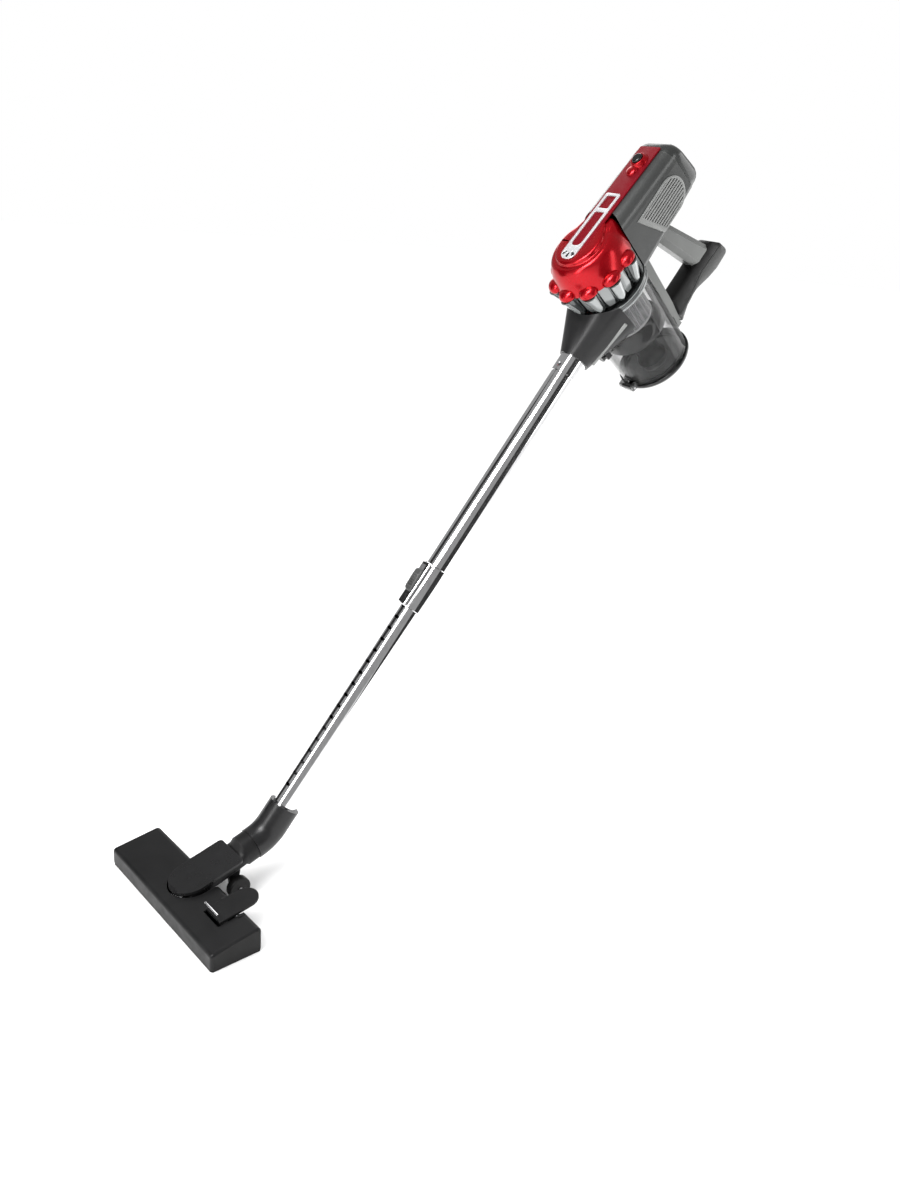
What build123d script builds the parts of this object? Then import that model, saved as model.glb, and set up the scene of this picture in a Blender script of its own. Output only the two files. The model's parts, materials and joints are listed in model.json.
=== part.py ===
from build123d import *
from math import cos, radians, sin
import os

# Upright stick vacuum cleaner: hand unit, telescopic wand and combination floor head.
# Millimetres, +Z up. The origin is the middle of the floor head's sole, on the floor.
# +X is the user's right, +Y runs back from the head towards the user.

os.makedirs("parts", exist_ok=True)

# ---------------------------------------------------------------- driving dimensions
# floor head
HEAD_WIDTH = 263
HEAD_DEPTH = 68
HEAD_FRONT_HEIGHT = 24
HEAD_REAR_HEIGHT = 34
HEAD_WALL = 2.4
SOLE_THICKNESS = 3
PITCH_Y = 8            # neck pitch axis, parallel to X
PITCH_Z = 21
POCKET_HALF_WIDTH = 31
POCKET_ARC_Y = 12
PEDAL_X = 77
PEDAL_WIDTH = 34
PEDAL_PIVOT_Y = 26
WHEEL_Y = 63
WHEEL_RADIUS = 15
WHEEL_WIDTH = 11
WHEEL_X = 27

# wand
ELBOW_Y = 119.8        # where the neck axis and the wand axis cross
ELBOW_Z = 59.3
LEAN_BACK = 34.05
LEAN_SIDE = 5.86
WAND_ROLL = -3.0
INNER_TUBE_RADIUS = 16
OUTER_TUBE_RADIUS = 17.5
TUBE_WALL = 1.0
SOCKET_SEAT = 24
SOCKET_RIM = 46
COLLAR_LOW = 354
COLLAR_HIGH = 419
INNER_TUBE_TOP = 500
OUTER_TUBE_LOW = 372
NOTCH_FIRST = 74
NOTCH_PITCH = 17.5
NOTCH_COUNT = 24
SLIDER_LOW = 374
SLIDER_LENGTH = 32
SLIDER_MID = 21.4
SLIDER_DEPTH = 3.2
SLEEVE_LOW = 723
CONNECTOR_MOUTH = 748
SLEEVE_HIGH = 786

# hand unit: the crown axis runs from the red cover through the cyclone to the cup lid
CROWN_BACK = -65
CROWN_UP = 853
CROWN_TILT = 5.2
COVER_TOP = 38
BUTTON_UP = 131
BUTTON_RADIUS = 7
TRIM_TOP = 78
TRIM_BOTTOM = -27
TRIM_BAR = 51
TRIM_HALF = 12.5
COVER_RADIUS = 53.4
LOBE_RING = 55
LOBE_RADIUS = 10.6
LOBE_STEP = 36
CONE_END = 42
REAR_WALL_START = 33
COLLAR_RADIUS = 54
CUP_TOP = 50
CUP_END = 186
CUP_TOP_RADIUS = 52.5
CUP_END_RADIUS = 49.5
CUP_WALL = 2.2
LID_THICKNESS = 9
LID_HINGE_OUT = -56    # along the crown's y, on the nozzle side
LID_HINGE_AT = 183
HINGE_PIN_RADIUS = 1.6
LATCH_AXIS_OUT = 56.6   # across the crown, on the user's left
LATCH_AXIS_AT = 172
LATCH_STUD_RADIUS = 1.4
LATCH_HALF = 5
MESH_RADIUS = 33
MESH_END = 106
SKIRT_RADIUS = 43
SKIRT_END = 128
DUST_TUBE_RADIUS = 16
HOUSING_LOW = 872
HOUSING_HIGH = 1008
HOUSING_HALF_WIDTH = 36
HOUSING_WALL = 2.4
CAP_LENGTH = 14
VENT_POINTS = ((-67, 921), (-25, 941), (-25, 979), (-67, 979))
VENT_ARCH = (-46, 979)
VENT_RADIUS = 21
VENT_SLOTS = 8
VENT_FIRST_SLOT = -62
VENT_SLOT_PITCH = 4.6
SLEEVE_RADIUS = 18.8
CORD_RADIUS = 3.5
RUNNING_GAP = 0.05
BODY_GAP = 0.3

# ---------------------------------------------------------------- reference planes
side_lean = radians(LEAN_SIDE)
back_lean = radians(LEAN_BACK)
wand_dir = Vector(sin(side_lean), cos(side_lean) * sin(back_lean), cos(side_lean) * cos(back_lean))
across = (Vector(1, 0, 0) - wand_dir * wand_dir.X).normalized()
elbow_point = Vector(0, ELBOW_Y, ELBOW_Z)

# wand: x to the side, y to the back (underside), z up the wand
roll = radians(WAND_ROLL)
sideways = across * cos(roll) + wand_dir.cross(across) * sin(roll)
wand = Plane(origin=elbow_point, x_dir=sideways, z_dir=wand_dir)
# profile: the hand unit seen from its side, x to the back and y up the wand
profile = Plane(origin=elbow_point, x_dir=wand.y_dir, z_dir=wand.x_dir)

crown_tilt = radians(CROWN_TILT)
crown_dir = wand.y_dir * cos(crown_tilt) - wand.z_dir * sin(crown_tilt)
crown_origin = wand.from_local_coords(Vector(0, CROWN_BACK, CROWN_UP))
# crown: z from the red cover to the cup lid, y up the wand
crown = Plane(origin=crown_origin, x_dir=wand.x_dir * -1, z_dir=crown_dir)
crown_axis = Axis(crown.origin, crown.z_dir)


def crown_half(angle):
    """Half plane through the crown axis: x outwards at the angle, y along the axis."""
    outwards = crown.x_dir * cos(radians(angle)) + crown.y_dir * sin(radians(angle))
    return Plane(origin=crown.origin, x_dir=outwards, z_dir=outwards.cross(crown.z_dir))


# side view of the crown: x up the wand, y from the red cover to the cup lid
crown_side = crown_half(90)
# the cup's latch is on its left
latch_side = crown_half(0)


pitch_point = Vector(0, PITCH_Y, PITCH_Z)
neck_dir = (elbow_point - pitch_point).normalized()
# neck: z up the neck tube, y to its underside
neck_plane = Plane(origin=pitch_point, x_dir=(1, 0, 0), z_dir=neck_dir)
neck_length = (elbow_point - pitch_point).length


# ================================================================ floor head
def head_outline(inset):
    """Side outline of the floor head, drawn on a YZ plane, inset by a wall."""
    front = -HEAD_DEPTH / 2 + inset
    back = HEAD_DEPTH / 2 - inset
    Polygon(
        (front, -1),
        (back, -1),
        (back, HEAD_REAR_HEIGHT - inset),
        (front, HEAD_FRONT_HEIGHT - inset),
        align=None,
    )


def tongue_outline(half_width, back):
    """Round-fronted outline, drawn on an XY plane from the front arc to the back."""
    with Locations((0, POCKET_ARC_Y)):
        Circle(half_width)
    with Locations((0, (POCKET_ARC_Y + back) / 2)):
        Rectangle(2 * half_width, back - POCKET_ARC_Y)


SHELL_HALF = HEAD_WIDTH / 2
SCREW_RADIUS = 1.5
SCREW_Y = 28
SCREW_SPOTS = [(-121, SCREW_Y), (-50, SCREW_Y), (50, SCREW_Y), (121, SCREW_Y)]
CHEEK = 4
PEDAL_LUG = 4
PEDAL_WELL_FRONT = -4.5
PIVOT_PIN_RADIUS = 3
PEDAL_PIN_RADIUS = 2
pedal_pin_z = HEAD_FRONT_HEIGHT + (HEAD_REAR_HEIGHT - HEAD_FRONT_HEIGHT) * (
    PEDAL_PIVOT_Y + HEAD_DEPTH / 2
) / HEAD_DEPTH - 1.0

with BuildPart() as head_housing:
    with BuildSketch(Plane.YZ.offset(-SHELL_HALF)) as shell_section:
        head_outline(0)
        fillet(shell_section.vertices().group_by(Axis.Y)[-1], 6)
        fillet(shell_section.vertices().group_by(Axis.Y)[1], 5)
    extrude(amount=HEAD_WIDTH)
    with BuildSketch(Plane.XY.offset(-2)) as under_floor:
        Rectangle(HEAD_WIDTH + 10, HEAD_DEPTH + 10)
    extrude(amount=2 + SOLE_THICKNESS + 0.1, mode=Mode.SUBTRACT)
    fillet(head_housing.edges().filter_by(Axis.Z), 4)
    # hollow, left and right of the neck pocket
    for low, high in (
        (-SHELL_HALF - 1, -POCKET_HALF_WIDTH - CHEEK),
        (POCKET_HALF_WIDTH + CHEEK, SHELL_HALF + 1),
    ):
        with BuildSketch(Plane.YZ.offset(low)) as hollow_section:
            head_outline(HEAD_WALL)
            fillet(hollow_section.vertices().group_by(Axis.Y)[-1], 3.6)
        extrude(amount=high - low, mode=Mode.SUBTRACT)
    # screw bosses under the roof
    with BuildSketch(Plane.XY.offset(SOLE_THICKNESS + 0.1)):
        with Locations(*SCREW_SPOTS):
            Circle(3.5)
            Circle(SCREW_RADIUS, mode=Mode.SUBTRACT)
    extrude(amount=28)
    with BuildSketch(Plane.XY):
        tongue_outline(POCKET_HALF_WIDTH, HEAD_DEPTH)
    extrude(amount=60, mode=Mode.SUBTRACT)
    # air passage through both cheeks
    with BuildSketch(Plane.YZ.offset(-POCKET_HALF_WIDTH - 10)):
        with Locations((-3, 9)):
            Rectangle(20, 10)
    extrude(amount=2 * POCKET_HALF_WIDTH + 20, mode=Mode.SUBTRACT)
    # path of the front brush bridge
    with BuildSketch(Plane.XY):
        with Locations((0, -24)):
            Rectangle(2 * POCKET_HALF_WIDTH + 3 * CHEEK, 7)
    extrude(amount=9, mode=Mode.SUBTRACT)
    # well and lugs for the pedal
    with BuildSketch(Plane.XY.offset(12)):
        with Locations((PEDAL_X, (PEDAL_WELL_FRONT + 40) / 2)):
            Rectangle(PEDAL_WIDTH + 2, 40 - PEDAL_WELL_FRONT)
    extrude(amount=40, mode=Mode.SUBTRACT)
    for side in (-1, 1):
        with BuildSketch(Plane.YZ.offset(PEDAL_X + side * (PEDAL_WIDTH / 2 + 1 + PEDAL_LUG / 2))):
            with Locations((PEDAL_PIVOT_Y, pedal_pin_z - 4)):
                Rectangle(9, 12)
        extrude(amount=PEDAL_LUG / 2, both=True)
    with BuildSketch(Plane.YZ.offset(PEDAL_X)):
        with Locations((PEDAL_PIVOT_Y, pedal_pin_z - 3)):
            Circle(PEDAL_PIN_RADIUS)
    extrude(amount=PEDAL_WIDTH / 2 + 1 + PEDAL_LUG, both=True, mode=Mode.SUBTRACT)
    with BuildSketch(Plane.YZ.offset(-60)):
        with Locations((PITCH_Y, PITCH_Z)):
            Circle(PIVOT_PIN_RADIUS + RUNNING_GAP)
    extrude(amount=100, mode=Mode.SUBTRACT)
head_housing.part.label = "head_housing"
export_step(head_housing.part, "parts/head_housing.step")

END_WALL = 3
SUCTION_BAR = 14       # bar across the middle of the suction slot
SUCTION_SLOT = (HEAD_WIDTH - 40 - SUCTION_BAR) / 2
SCREW_HEAD_RADIUS = 2.7
SCREW_HEAD_TOP = 1.6
with BuildPart() as base_tray:
    with BuildSketch(Plane.XY):
        RectangleRounded(HEAD_WIDTH - 1, HEAD_DEPTH - 1, 4)
    extrude(amount=SOLE_THICKNESS)
    # end walls close the open ends of the housing
    for low in (-SHELL_HALF + 0.5, SHELL_HALF - 0.5 - END_WALL):
        with BuildSketch(Plane.YZ.offset(low)) as end_section:
            head_outline(HEAD_WALL + 0.2)
            fillet(end_section.vertices().group_by(Axis.Y)[-1], 4.4)
        extrude(amount=END_WALL)
    with BuildSketch(Plane.XY.offset(-5)):
        Rectangle(2 * HEAD_WIDTH, 2 * HEAD_DEPTH)
    extrude(amount=5, mode=Mode.SUBTRACT)
    # suction slot, bristle slots and the throat under the neck
    with BuildSketch(Plane.XY):
        for side in (-1, 1):
            with Locations((side * (SUCTION_BAR + SUCTION_SLOT) / 2, -3)):
                SlotOverall(SUCTION_SLOT, 15)
        for slot_y in (-24, 20):
            with Locations((0, slot_y)):
                Rectangle(HEAD_WIDTH - 30, 7)
        with Locations(*SCREW_SPOTS):
            Circle(SCREW_RADIUS + 0.1)
    extrude(amount=SOLE_THICKNESS, mode=Mode.SUBTRACT)
    with BuildSketch(Plane.XY):
        with Locations(*SCREW_SPOTS):
            Circle(SCREW_HEAD_RADIUS + 0.3)
    extrude(amount=SCREW_HEAD_TOP, mode=Mode.SUBTRACT)
    # rear notch clears the neck tube
    with BuildSketch(Plane.XY):
        with Locations((0, HEAD_DEPTH / 2)):
            Rectangle(2 * POCKET_HALF_WIDTH - 8, 14)
    extrude(amount=SOLE_THICKNESS, mode=Mode.SUBTRACT)
base_tray.part.label = "base_tray"
export_step(base_tray.part, "parts/base_tray.step")

with BuildPart() as sole_screws:
    with BuildSketch(Plane.XY.offset(0.4)):
        with Locations(*SCREW_SPOTS):
            Circle(SCREW_HEAD_RADIUS)
    extrude(amount=SCREW_HEAD_TOP - 0.4)
    with BuildSketch(Plane.XY.offset(SCREW_HEAD_TOP)):
        with Locations(*SCREW_SPOTS):
            Circle(SCREW_RADIUS)
    extrude(amount=10)
    # cross recess in each head
    with BuildSketch(Plane.XY.offset(0.4)):
        with Locations(*SCREW_SPOTS):
            Rectangle(3, 0.8)
            Rectangle(0.8, 3)
    extrude(amount=0.8, mode=Mode.SUBTRACT)
sole_screws.part.label = "sole_screws"
export_step(sole_screws.part, "parts/sole_screws.step")

BRUSH_WIDTH = HEAD_WIDTH - 32
for brush_name, brush_y in (("brush_strip_front", -24), ("brush_strip_rear", 20)):
    with BuildPart() as brush_strip:
        for half in (-1, 1):
            strip_length = BRUSH_WIDTH / 2 - POCKET_HALF_WIDTH - CHEEK - 1
            strip_middle = half * (BRUSH_WIDTH / 2 + POCKET_HALF_WIDTH + CHEEK + 1) / 2
            with BuildSketch(Plane.XY.offset(0.3)):
                with Locations((strip_middle, brush_y)):
                    Rectangle(strip_length, 4.6)
            extrude(amount=8.7)
            with BuildSketch(Plane.XY.offset(4.5)):
                with Locations((strip_middle, brush_y)):
                    Rectangle(strip_length, 5.6)
            extrude(amount=4.5)
        if brush_y < 0:
            # a low bridge under the neck pocket joins the front halves
            with BuildSketch(Plane.XY.offset(0.3)):
                with Locations((0, brush_y)):
                    Rectangle(2 * POCKET_HALF_WIDTH + 4 * CHEEK, 4.6)
            extrude(amount=3.2)
    brush_strip.part.label = brush_name
    export_step(brush_strip.part, "parts/" + brush_name + ".step")

# neck: trunnion drum, flat duct, round socket and wheel struts
NECK_BORE = 14.6
DUCT_START = 12
DUCT_WIDTH = 44
DUCT_HEIGHT = 16
DUCT_WALL = 2
SOCKET_OUTER = 20.5
SOCKET_DEPTH = 16
DRUM_HALF = 25.5
NECK_SEAM = neck_length - 23
WHEEL_Z = WHEEL_RADIUS + 0.3
AXLE_RADIUS = 2.5
TONGUE_HALF = 29
TONGUE_BACK = 70
TONGUE_THICKNESS = 3.2
TONGUE_FRONT_TOP = (-6, 33.6)
TONGUE_BACK_TOP = (72, 55)
TONGUE_TIP = (-17.4, 28.6)
duct_end = NECK_SEAM - 26.5
socket_start = NECK_SEAM - SOCKET_DEPTH
with BuildPart() as neck:
    with BuildSketch(Plane.YZ.offset(-DRUM_HALF)):
        with Locations((PITCH_Y, PITCH_Z)):
            Circle(12.5)
    extrude(amount=2 * DRUM_HALF)
    with BuildSketch(neck_plane.offset(DUCT_START)):
        RectangleRounded(DUCT_WIDTH, DUCT_HEIGHT, 7)
    extrude(amount=duct_end - DUCT_START)
    with BuildSketch(neck_plane.offset(duct_end)):
        RectangleRounded(DUCT_WIDTH, DUCT_HEIGHT, 7)
    with BuildSketch(neck_plane.offset(socket_start)):
        Circle(SOCKET_OUTER)
    loft()
    with BuildSketch(neck_plane.offset(socket_start)):
        Circle(SOCKET_OUTER)
    extrude(amount=SOCKET_DEPTH)
    # rib that carries the cover
    with BuildSketch(Plane.YZ.offset(-10)):
        Polygon(
            (12, 24),
            (12, TONGUE_FRONT_TOP[1] + 1.3),
            (64, TONGUE_BACK_TOP[1] - 2.2 - TONGUE_THICKNESS - 0.2),
            (64, 44),
            align=None,
        )
    extrude(amount=20)
    for side in (-1, 1):
        with BuildSketch(Plane.YZ.offset(side * 14.5)):
            Polygon(
                (WHEEL_Y - 8, WHEEL_Z + 17),
                (WHEEL_Y - 6, WHEEL_Z - 4),
                (WHEEL_Y + 6, WHEEL_Z - 4),
                (WHEEL_Y + 10, WHEEL_Z + 24),
                align=None,
            )
            with Locations((WHEEL_Y, WHEEL_Z)):
                Circle(6)
        extrude(amount=2, both=True)
    # airway from the drum to the socket
    with BuildSketch(neck_plane.offset(-2)):
        RectangleRounded(DUCT_WIDTH - 2 * DUCT_WALL, DUCT_HEIGHT - 2 * DUCT_WALL, 5)
    extrude(amount=duct_end + 2, mode=Mode.SUBTRACT)
    with BuildSketch(neck_plane.offset(duct_end)):
        RectangleRounded(DUCT_WIDTH - 2 * DUCT_WALL, DUCT_HEIGHT - 2 * DUCT_WALL, 5)
    with BuildSketch(neck_plane.offset(socket_start)):
        Circle(NECK_BORE)
    loft(mode=Mode.SUBTRACT)
    with BuildSketch(neck_plane.offset(socket_start)):
        Circle(NECK_BORE)
    extrude(amount=SOCKET_DEPTH, mode=Mode.SUBTRACT)
    with BuildSketch(Plane.XY.offset(4)):
        with Locations((0, PITCH_Y - 1)):
            Rectangle(38, 16)
    extrude(amount=PITCH_Z - 4, mode=Mode.SUBTRACT)
    with BuildSketch(Plane.YZ.offset(-40)):
        with Locations((PITCH_Y, PITCH_Z)):
            Circle(PIVOT_PIN_RADIUS)
        with Locations((WHEEL_Y, WHEEL_Z)):
            Circle(AXLE_RADIUS)
    extrude(amount=80, mode=Mode.SUBTRACT)
neck.part.label = "neck"
export_step(neck.part, "parts/neck.step")

with BuildPart() as neck_cover:
    with BuildSketch(Plane.XY) as tongue_plan:
        tongue_outline(TONGUE_HALF, TONGUE_BACK)
        fillet(tongue_plan.vertices().group_by(Axis.Y)[-1], 5)
    extrude(amount=80)
    with BuildSketch(Plane.YZ.offset(-TONGUE_HALF - 1)):
        Polygon(
            TONGUE_TIP,
            (TONGUE_TIP[0] + 4, TONGUE_TIP[1] + 3.2),
            TONGUE_FRONT_TOP,
            TONGUE_BACK_TOP,
            (TONGUE_BACK_TOP[0], TONGUE_BACK_TOP[1] - TONGUE_THICKNESS),
            (TONGUE_FRONT_TOP[0] + 1, TONGUE_FRONT_TOP[1] - TONGUE_THICKNESS),
            (TONGUE_TIP[0] + 1, TONGUE_TIP[1] - 2.6),
            align=None,
        )
    extrude(amount=2 * TONGUE_HALF + 2, mode=Mode.INTERSECT)
neck_cover.part.label = "neck_cover"
export_step(neck_cover.part, "parts/neck_cover.step")

with BuildPart() as pivot_pin:
    with BuildSketch(Plane.YZ.offset(-POCKET_HALF_WIDTH - CHEEK + 0.5)):
        with Locations((PITCH_Y, PITCH_Z)):
            Circle(PIVOT_PIN_RADIUS)
    extrude(amount=14)
    with BuildSketch(Plane.YZ.offset(POCKET_HALF_WIDTH + CHEEK - 0.5)):
        with Locations((PITCH_Y, PITCH_Z)):
            Circle(PIVOT_PIN_RADIUS)
    extrude(amount=-14)
pivot_pin.part.label = "pivot_pin"
export_step(pivot_pin.part, "parts/pivot_pin.step")

with BuildPart() as wheel_axle:
    with BuildSketch(Plane.YZ.offset(-WHEEL_X - WHEEL_WIDTH / 2 - 1.5)):
        with Locations((WHEEL_Y, WHEEL_Z)):
            Circle(AXLE_RADIUS)
    extrude(amount=2 * WHEEL_X + WHEEL_WIDTH + 3)
wheel_axle.part.label = "wheel_axle"
export_step(wheel_axle.part, "parts/wheel_axle.step")

for wheel_name, wheel_side in (("rear_wheel_left", -1), ("rear_wheel_right", 1)):
    with BuildPart() as rear_wheel:
        with BuildSketch(Plane.YZ.offset(wheel_side * WHEEL_X)):
            with Locations((WHEEL_Y, WHEEL_Z)):
                Circle(WHEEL_RADIUS)
        extrude(amount=WHEEL_WIDTH / 2, both=True)
        fillet(rear_wheel.edges().filter_by(GeomType.CIRCLE), 1.5)
        with BuildSketch(Plane.YZ.offset(wheel_side * WHEEL_X)):
            with Locations((WHEEL_Y, WHEEL_Z)):
                Circle(AXLE_RADIUS + RUNNING_GAP)
        extrude(amount=WHEEL_WIDTH, both=True, mode=Mode.SUBTRACT)
    rear_wheel.part.label = wheel_name
    export_step(rear_wheel.part, "parts/" + wheel_name + ".step")

# foot pedal, lying a little above the sloping top of the head
PEDAL_FRONT = -1.5
PEDAL_BACK = 60
PEDAL_SLOPE = 9.2
PEDAL_THICKNESS = 4
pedal_plane = Plane(origin=(PEDAL_X, PEDAL_FRONT, 33), x_dir=(1, 0, 0), z_dir=(0, 0, 1)).rotated(
    (PEDAL_SLOPE, 0, 0)
)
pedal_length = PEDAL_BACK - PEDAL_FRONT
with BuildPart() as pedal:
    with BuildSketch(pedal_plane.offset(-PEDAL_THICKNESS)) as pedal_plan:
        with Locations((0, (pedal_length - PEDAL_WIDTH / 2) / 2)):
            Rectangle(PEDAL_WIDTH, pedal_length - PEDAL_WIDTH / 2)
        with Locations((0, pedal_length - PEDAL_WIDTH / 2)):
            Circle(PEDAL_WIDTH / 2)
    extrude(amount=PEDAL_THICKNESS)
    fillet(pedal.faces().sort_by(Axis.Z)[-1].edges(), 1)
    with BuildSketch(Plane.YZ.offset(PEDAL_X)):
        Polygon(
            (PEDAL_PIVOT_Y - 5, pedal_pin_z - 6),
            (PEDAL_PIVOT_Y + 5, pedal_pin_z - 6),
            (PEDAL_PIVOT_Y + 7, pedal_pin_z + 3),
            (PEDAL_PIVOT_Y - 7, pedal_pin_z + 1),
            align=None,
        )
    extrude(amount=8, both=True)
    with BuildSketch(Plane.YZ.offset(PEDAL_X)):
        with Locations((PEDAL_PIVOT_Y, pedal_pin_z - 3)):
            Circle(PEDAL_PIN_RADIUS + RUNNING_GAP)
    extrude(amount=20, both=True, mode=Mode.SUBTRACT)
pedal.part.label = "pedal"
export_step(pedal.part, "parts/pedal.step")

with BuildPart() as pedal_pin:
    with BuildSketch(Plane.YZ.offset(PEDAL_X)):
        with Locations((PEDAL_PIVOT_Y, pedal_pin_z - 3)):
            Circle(PEDAL_PIN_RADIUS)
    extrude(amount=PEDAL_WIDTH / 2 + 1 + PEDAL_LUG - 0.5, both=True)
pedal_pin.part.label = "pedal_pin"
export_step(pedal_pin.part, "parts/pedal_pin.step")

# ================================================================ elbow
ELBOW_RADIUS = 21.5
ELBOW_BEND = 46
AIRWAY_RADIUS = 13
elbow_start = elbow_point - neck_dir * 22.7
elbow_end = elbow_point + wand.z_dir * SOCKET_RIM
with BuildPart() as elbow:
    with BuildLine() as elbow_route:
        FilletPolyline(elbow_start, elbow_point, elbow_end, radius=ELBOW_BEND)
    with BuildSketch(Plane(origin=elbow_start, x_dir=(1, 0, 0), z_dir=neck_dir)):
        Circle(ELBOW_RADIUS)
    sweep()
    with BuildSketch(Plane(origin=elbow_start, x_dir=(1, 0, 0), z_dir=neck_dir)):
        Circle(AIRWAY_RADIUS)
    sweep(path=elbow_route.wires()[0], mode=Mode.SUBTRACT)
    with BuildSketch(wand.offset(SOCKET_SEAT)):
        Circle(INNER_TUBE_RADIUS + 0.02)
    extrude(amount=SOCKET_RIM, mode=Mode.SUBTRACT)
    # spigot that turns inside the neck tube
    with BuildSketch(neck_plane.offset(NECK_SEAM - 12)):
        Circle(NECK_BORE - RUNNING_GAP)
        Circle(NECK_BORE - 2.6, mode=Mode.SUBTRACT)
    extrude(amount=12.3)
elbow.part.label = "elbow"
export_step(elbow.part, "parts/elbow.step")


# ================================================================ wand
with BuildPart() as inner_tube:
    with BuildSketch(wand.offset(SOCKET_SEAT)):
        Circle(INNER_TUBE_RADIUS)
        Circle(INNER_TUBE_RADIUS - TUBE_WALL, mode=Mode.SUBTRACT)
    extrude(amount=INNER_TUBE_TOP - SOCKET_SEAT)
    # row of detent notches on the front of the tube
    for notch in range(NOTCH_COUNT):
        notch_up = NOTCH_FIRST + notch * NOTCH_PITCH
        with BuildSketch(Plane(origin=wand.from_local_coords(Vector(0, -INNER_TUBE_RADIUS, notch_up)),
                               x_dir=wand.x_dir, z_dir=wand.y_dir * -1)):
            SlotOverall(9, 4)
        extrude(amount=3, both=True, mode=Mode.SUBTRACT)
inner_tube.part.label = "inner_tube"
export_step(inner_tube.part, "parts/inner_tube.step")

with BuildPart() as outer_tube:
    with BuildSketch(wand.offset(OUTER_TUBE_LOW)):
        Circle(OUTER_TUBE_RADIUS)
        Circle(OUTER_TUBE_RADIUS - TUBE_WALL, mode=Mode.SUBTRACT)
    extrude(amount=SLEEVE_HIGH - OUTER_TUBE_LOW)
outer_tube.part.label = "outer_tube"
export_step(outer_tube.part, "parts/outer_tube.step")

COLLAR_OUTER = 20
with BuildPart() as telescope_collar:
    with BuildSketch(wand.offset(COLLAR_LOW)):
        Circle(COLLAR_OUTER)
    extrude(amount=COLLAR_HIGH - COLLAR_LOW)
    chamfer(telescope_collar.edges().filter_by(GeomType.CIRCLE), 1)
    with BuildSketch(wand.offset(COLLAR_LOW + 2)):
        with Locations((0, -12)):
            RectangleRounded(20, 23, 5)
    extrude(amount=COLLAR_HIGH - COLLAR_LOW - 4)
    with BuildSketch(wand.offset(COLLAR_LOW - 1)):
        Circle(INNER_TUBE_RADIUS + 0.1)
    extrude(amount=OUTER_TUBE_LOW - COLLAR_LOW + 1, mode=Mode.SUBTRACT)
    with BuildSketch(wand.offset(OUTER_TUBE_LOW)):
        Circle(OUTER_TUBE_RADIUS)
    extrude(amount=COLLAR_HIGH - OUTER_TUBE_LOW + 1, mode=Mode.SUBTRACT)
    # track for the sliding lock
    with BuildSketch(wand.offset(SLIDER_LOW - 1)):
        with Locations((0, -SLIDER_MID - 3)):
            Rectangle(12.8, SLIDER_DEPTH + 6.8)
    extrude(amount=SLIDER_LENGTH + 9, mode=Mode.SUBTRACT)
telescope_collar.part.label = "telescope_collar"
export_step(telescope_collar.part, "parts/telescope_collar.step")

with BuildPart() as lock_slider:
    with BuildSketch(wand.offset(SLIDER_LOW)):
        with Locations((0, -SLIDER_MID - 0.8)):
            RectangleRounded(12, SLIDER_DEPTH + 1.4, 1.5)
    extrude(amount=SLIDER_LENGTH)
    # finger ridges across the top
    for ridge in range(5):
        with BuildSketch(wand.offset(SLIDER_LOW + 5 + ridge * 5)):
            with Locations((0, -SLIDER_MID - 0.8 - SLIDER_DEPTH / 2 - 1)):
                Rectangle(10, 2.4)
        extrude(amount=2)
lock_slider.part.label = "lock_slider"
export_step(lock_slider.part, "parts/lock_slider.step")

with BuildPart() as coupling_sleeve:
    with BuildSketch(wand.offset(SLEEVE_LOW)):
        Circle(OUTER_TUBE_RADIUS + 1.3)
        Circle(OUTER_TUBE_RADIUS, mode=Mode.SUBTRACT)
    extrude(amount=SLEEVE_HIGH - SLEEVE_LOW)
    # button dimple on the front of the sleeve
    with BuildSketch(Plane(origin=wand.from_local_coords(Vector(0, -OUTER_TUBE_RADIUS, SLEEVE_LOW + 8)),
                           x_dir=wand.x_dir, z_dir=wand.y_dir * -1)):
        Circle(3.5)
    extrude(amount=4, mode=Mode.SUBTRACT)
coupling_sleeve.part.label = "coupling_sleeve"
export_step(coupling_sleeve.part, "parts/coupling_sleeve.step")

# ================================================================ hand unit: cyclone and cup
def dome_points(inset):
    """Half section of the red cover, (radius, height along the crown axis)."""
    return [
        (0, -COVER_TOP + inset),
        (26 - inset, -COVER_TOP + inset),
        (37 - inset, -33 + inset * 0.8),
        (39.5 - inset, -30.4 + inset * 0.8),
        (47 - inset, -22),
        (COVER_RADIUS - 1.4 - inset, -9),
        (COVER_RADIUS - inset, -2),
        (COVER_RADIUS - inset, 3 + 2 * inset),
        (0, 3 + 2 * inset),
    ]


def lobe_angles():
    """Compass angles of the exposed cyclones, counted from the nozzle side."""
    return [-90 + step * LOBE_STEP for step in (-3, -2, -1, 0, 1, 2, 3)]


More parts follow.
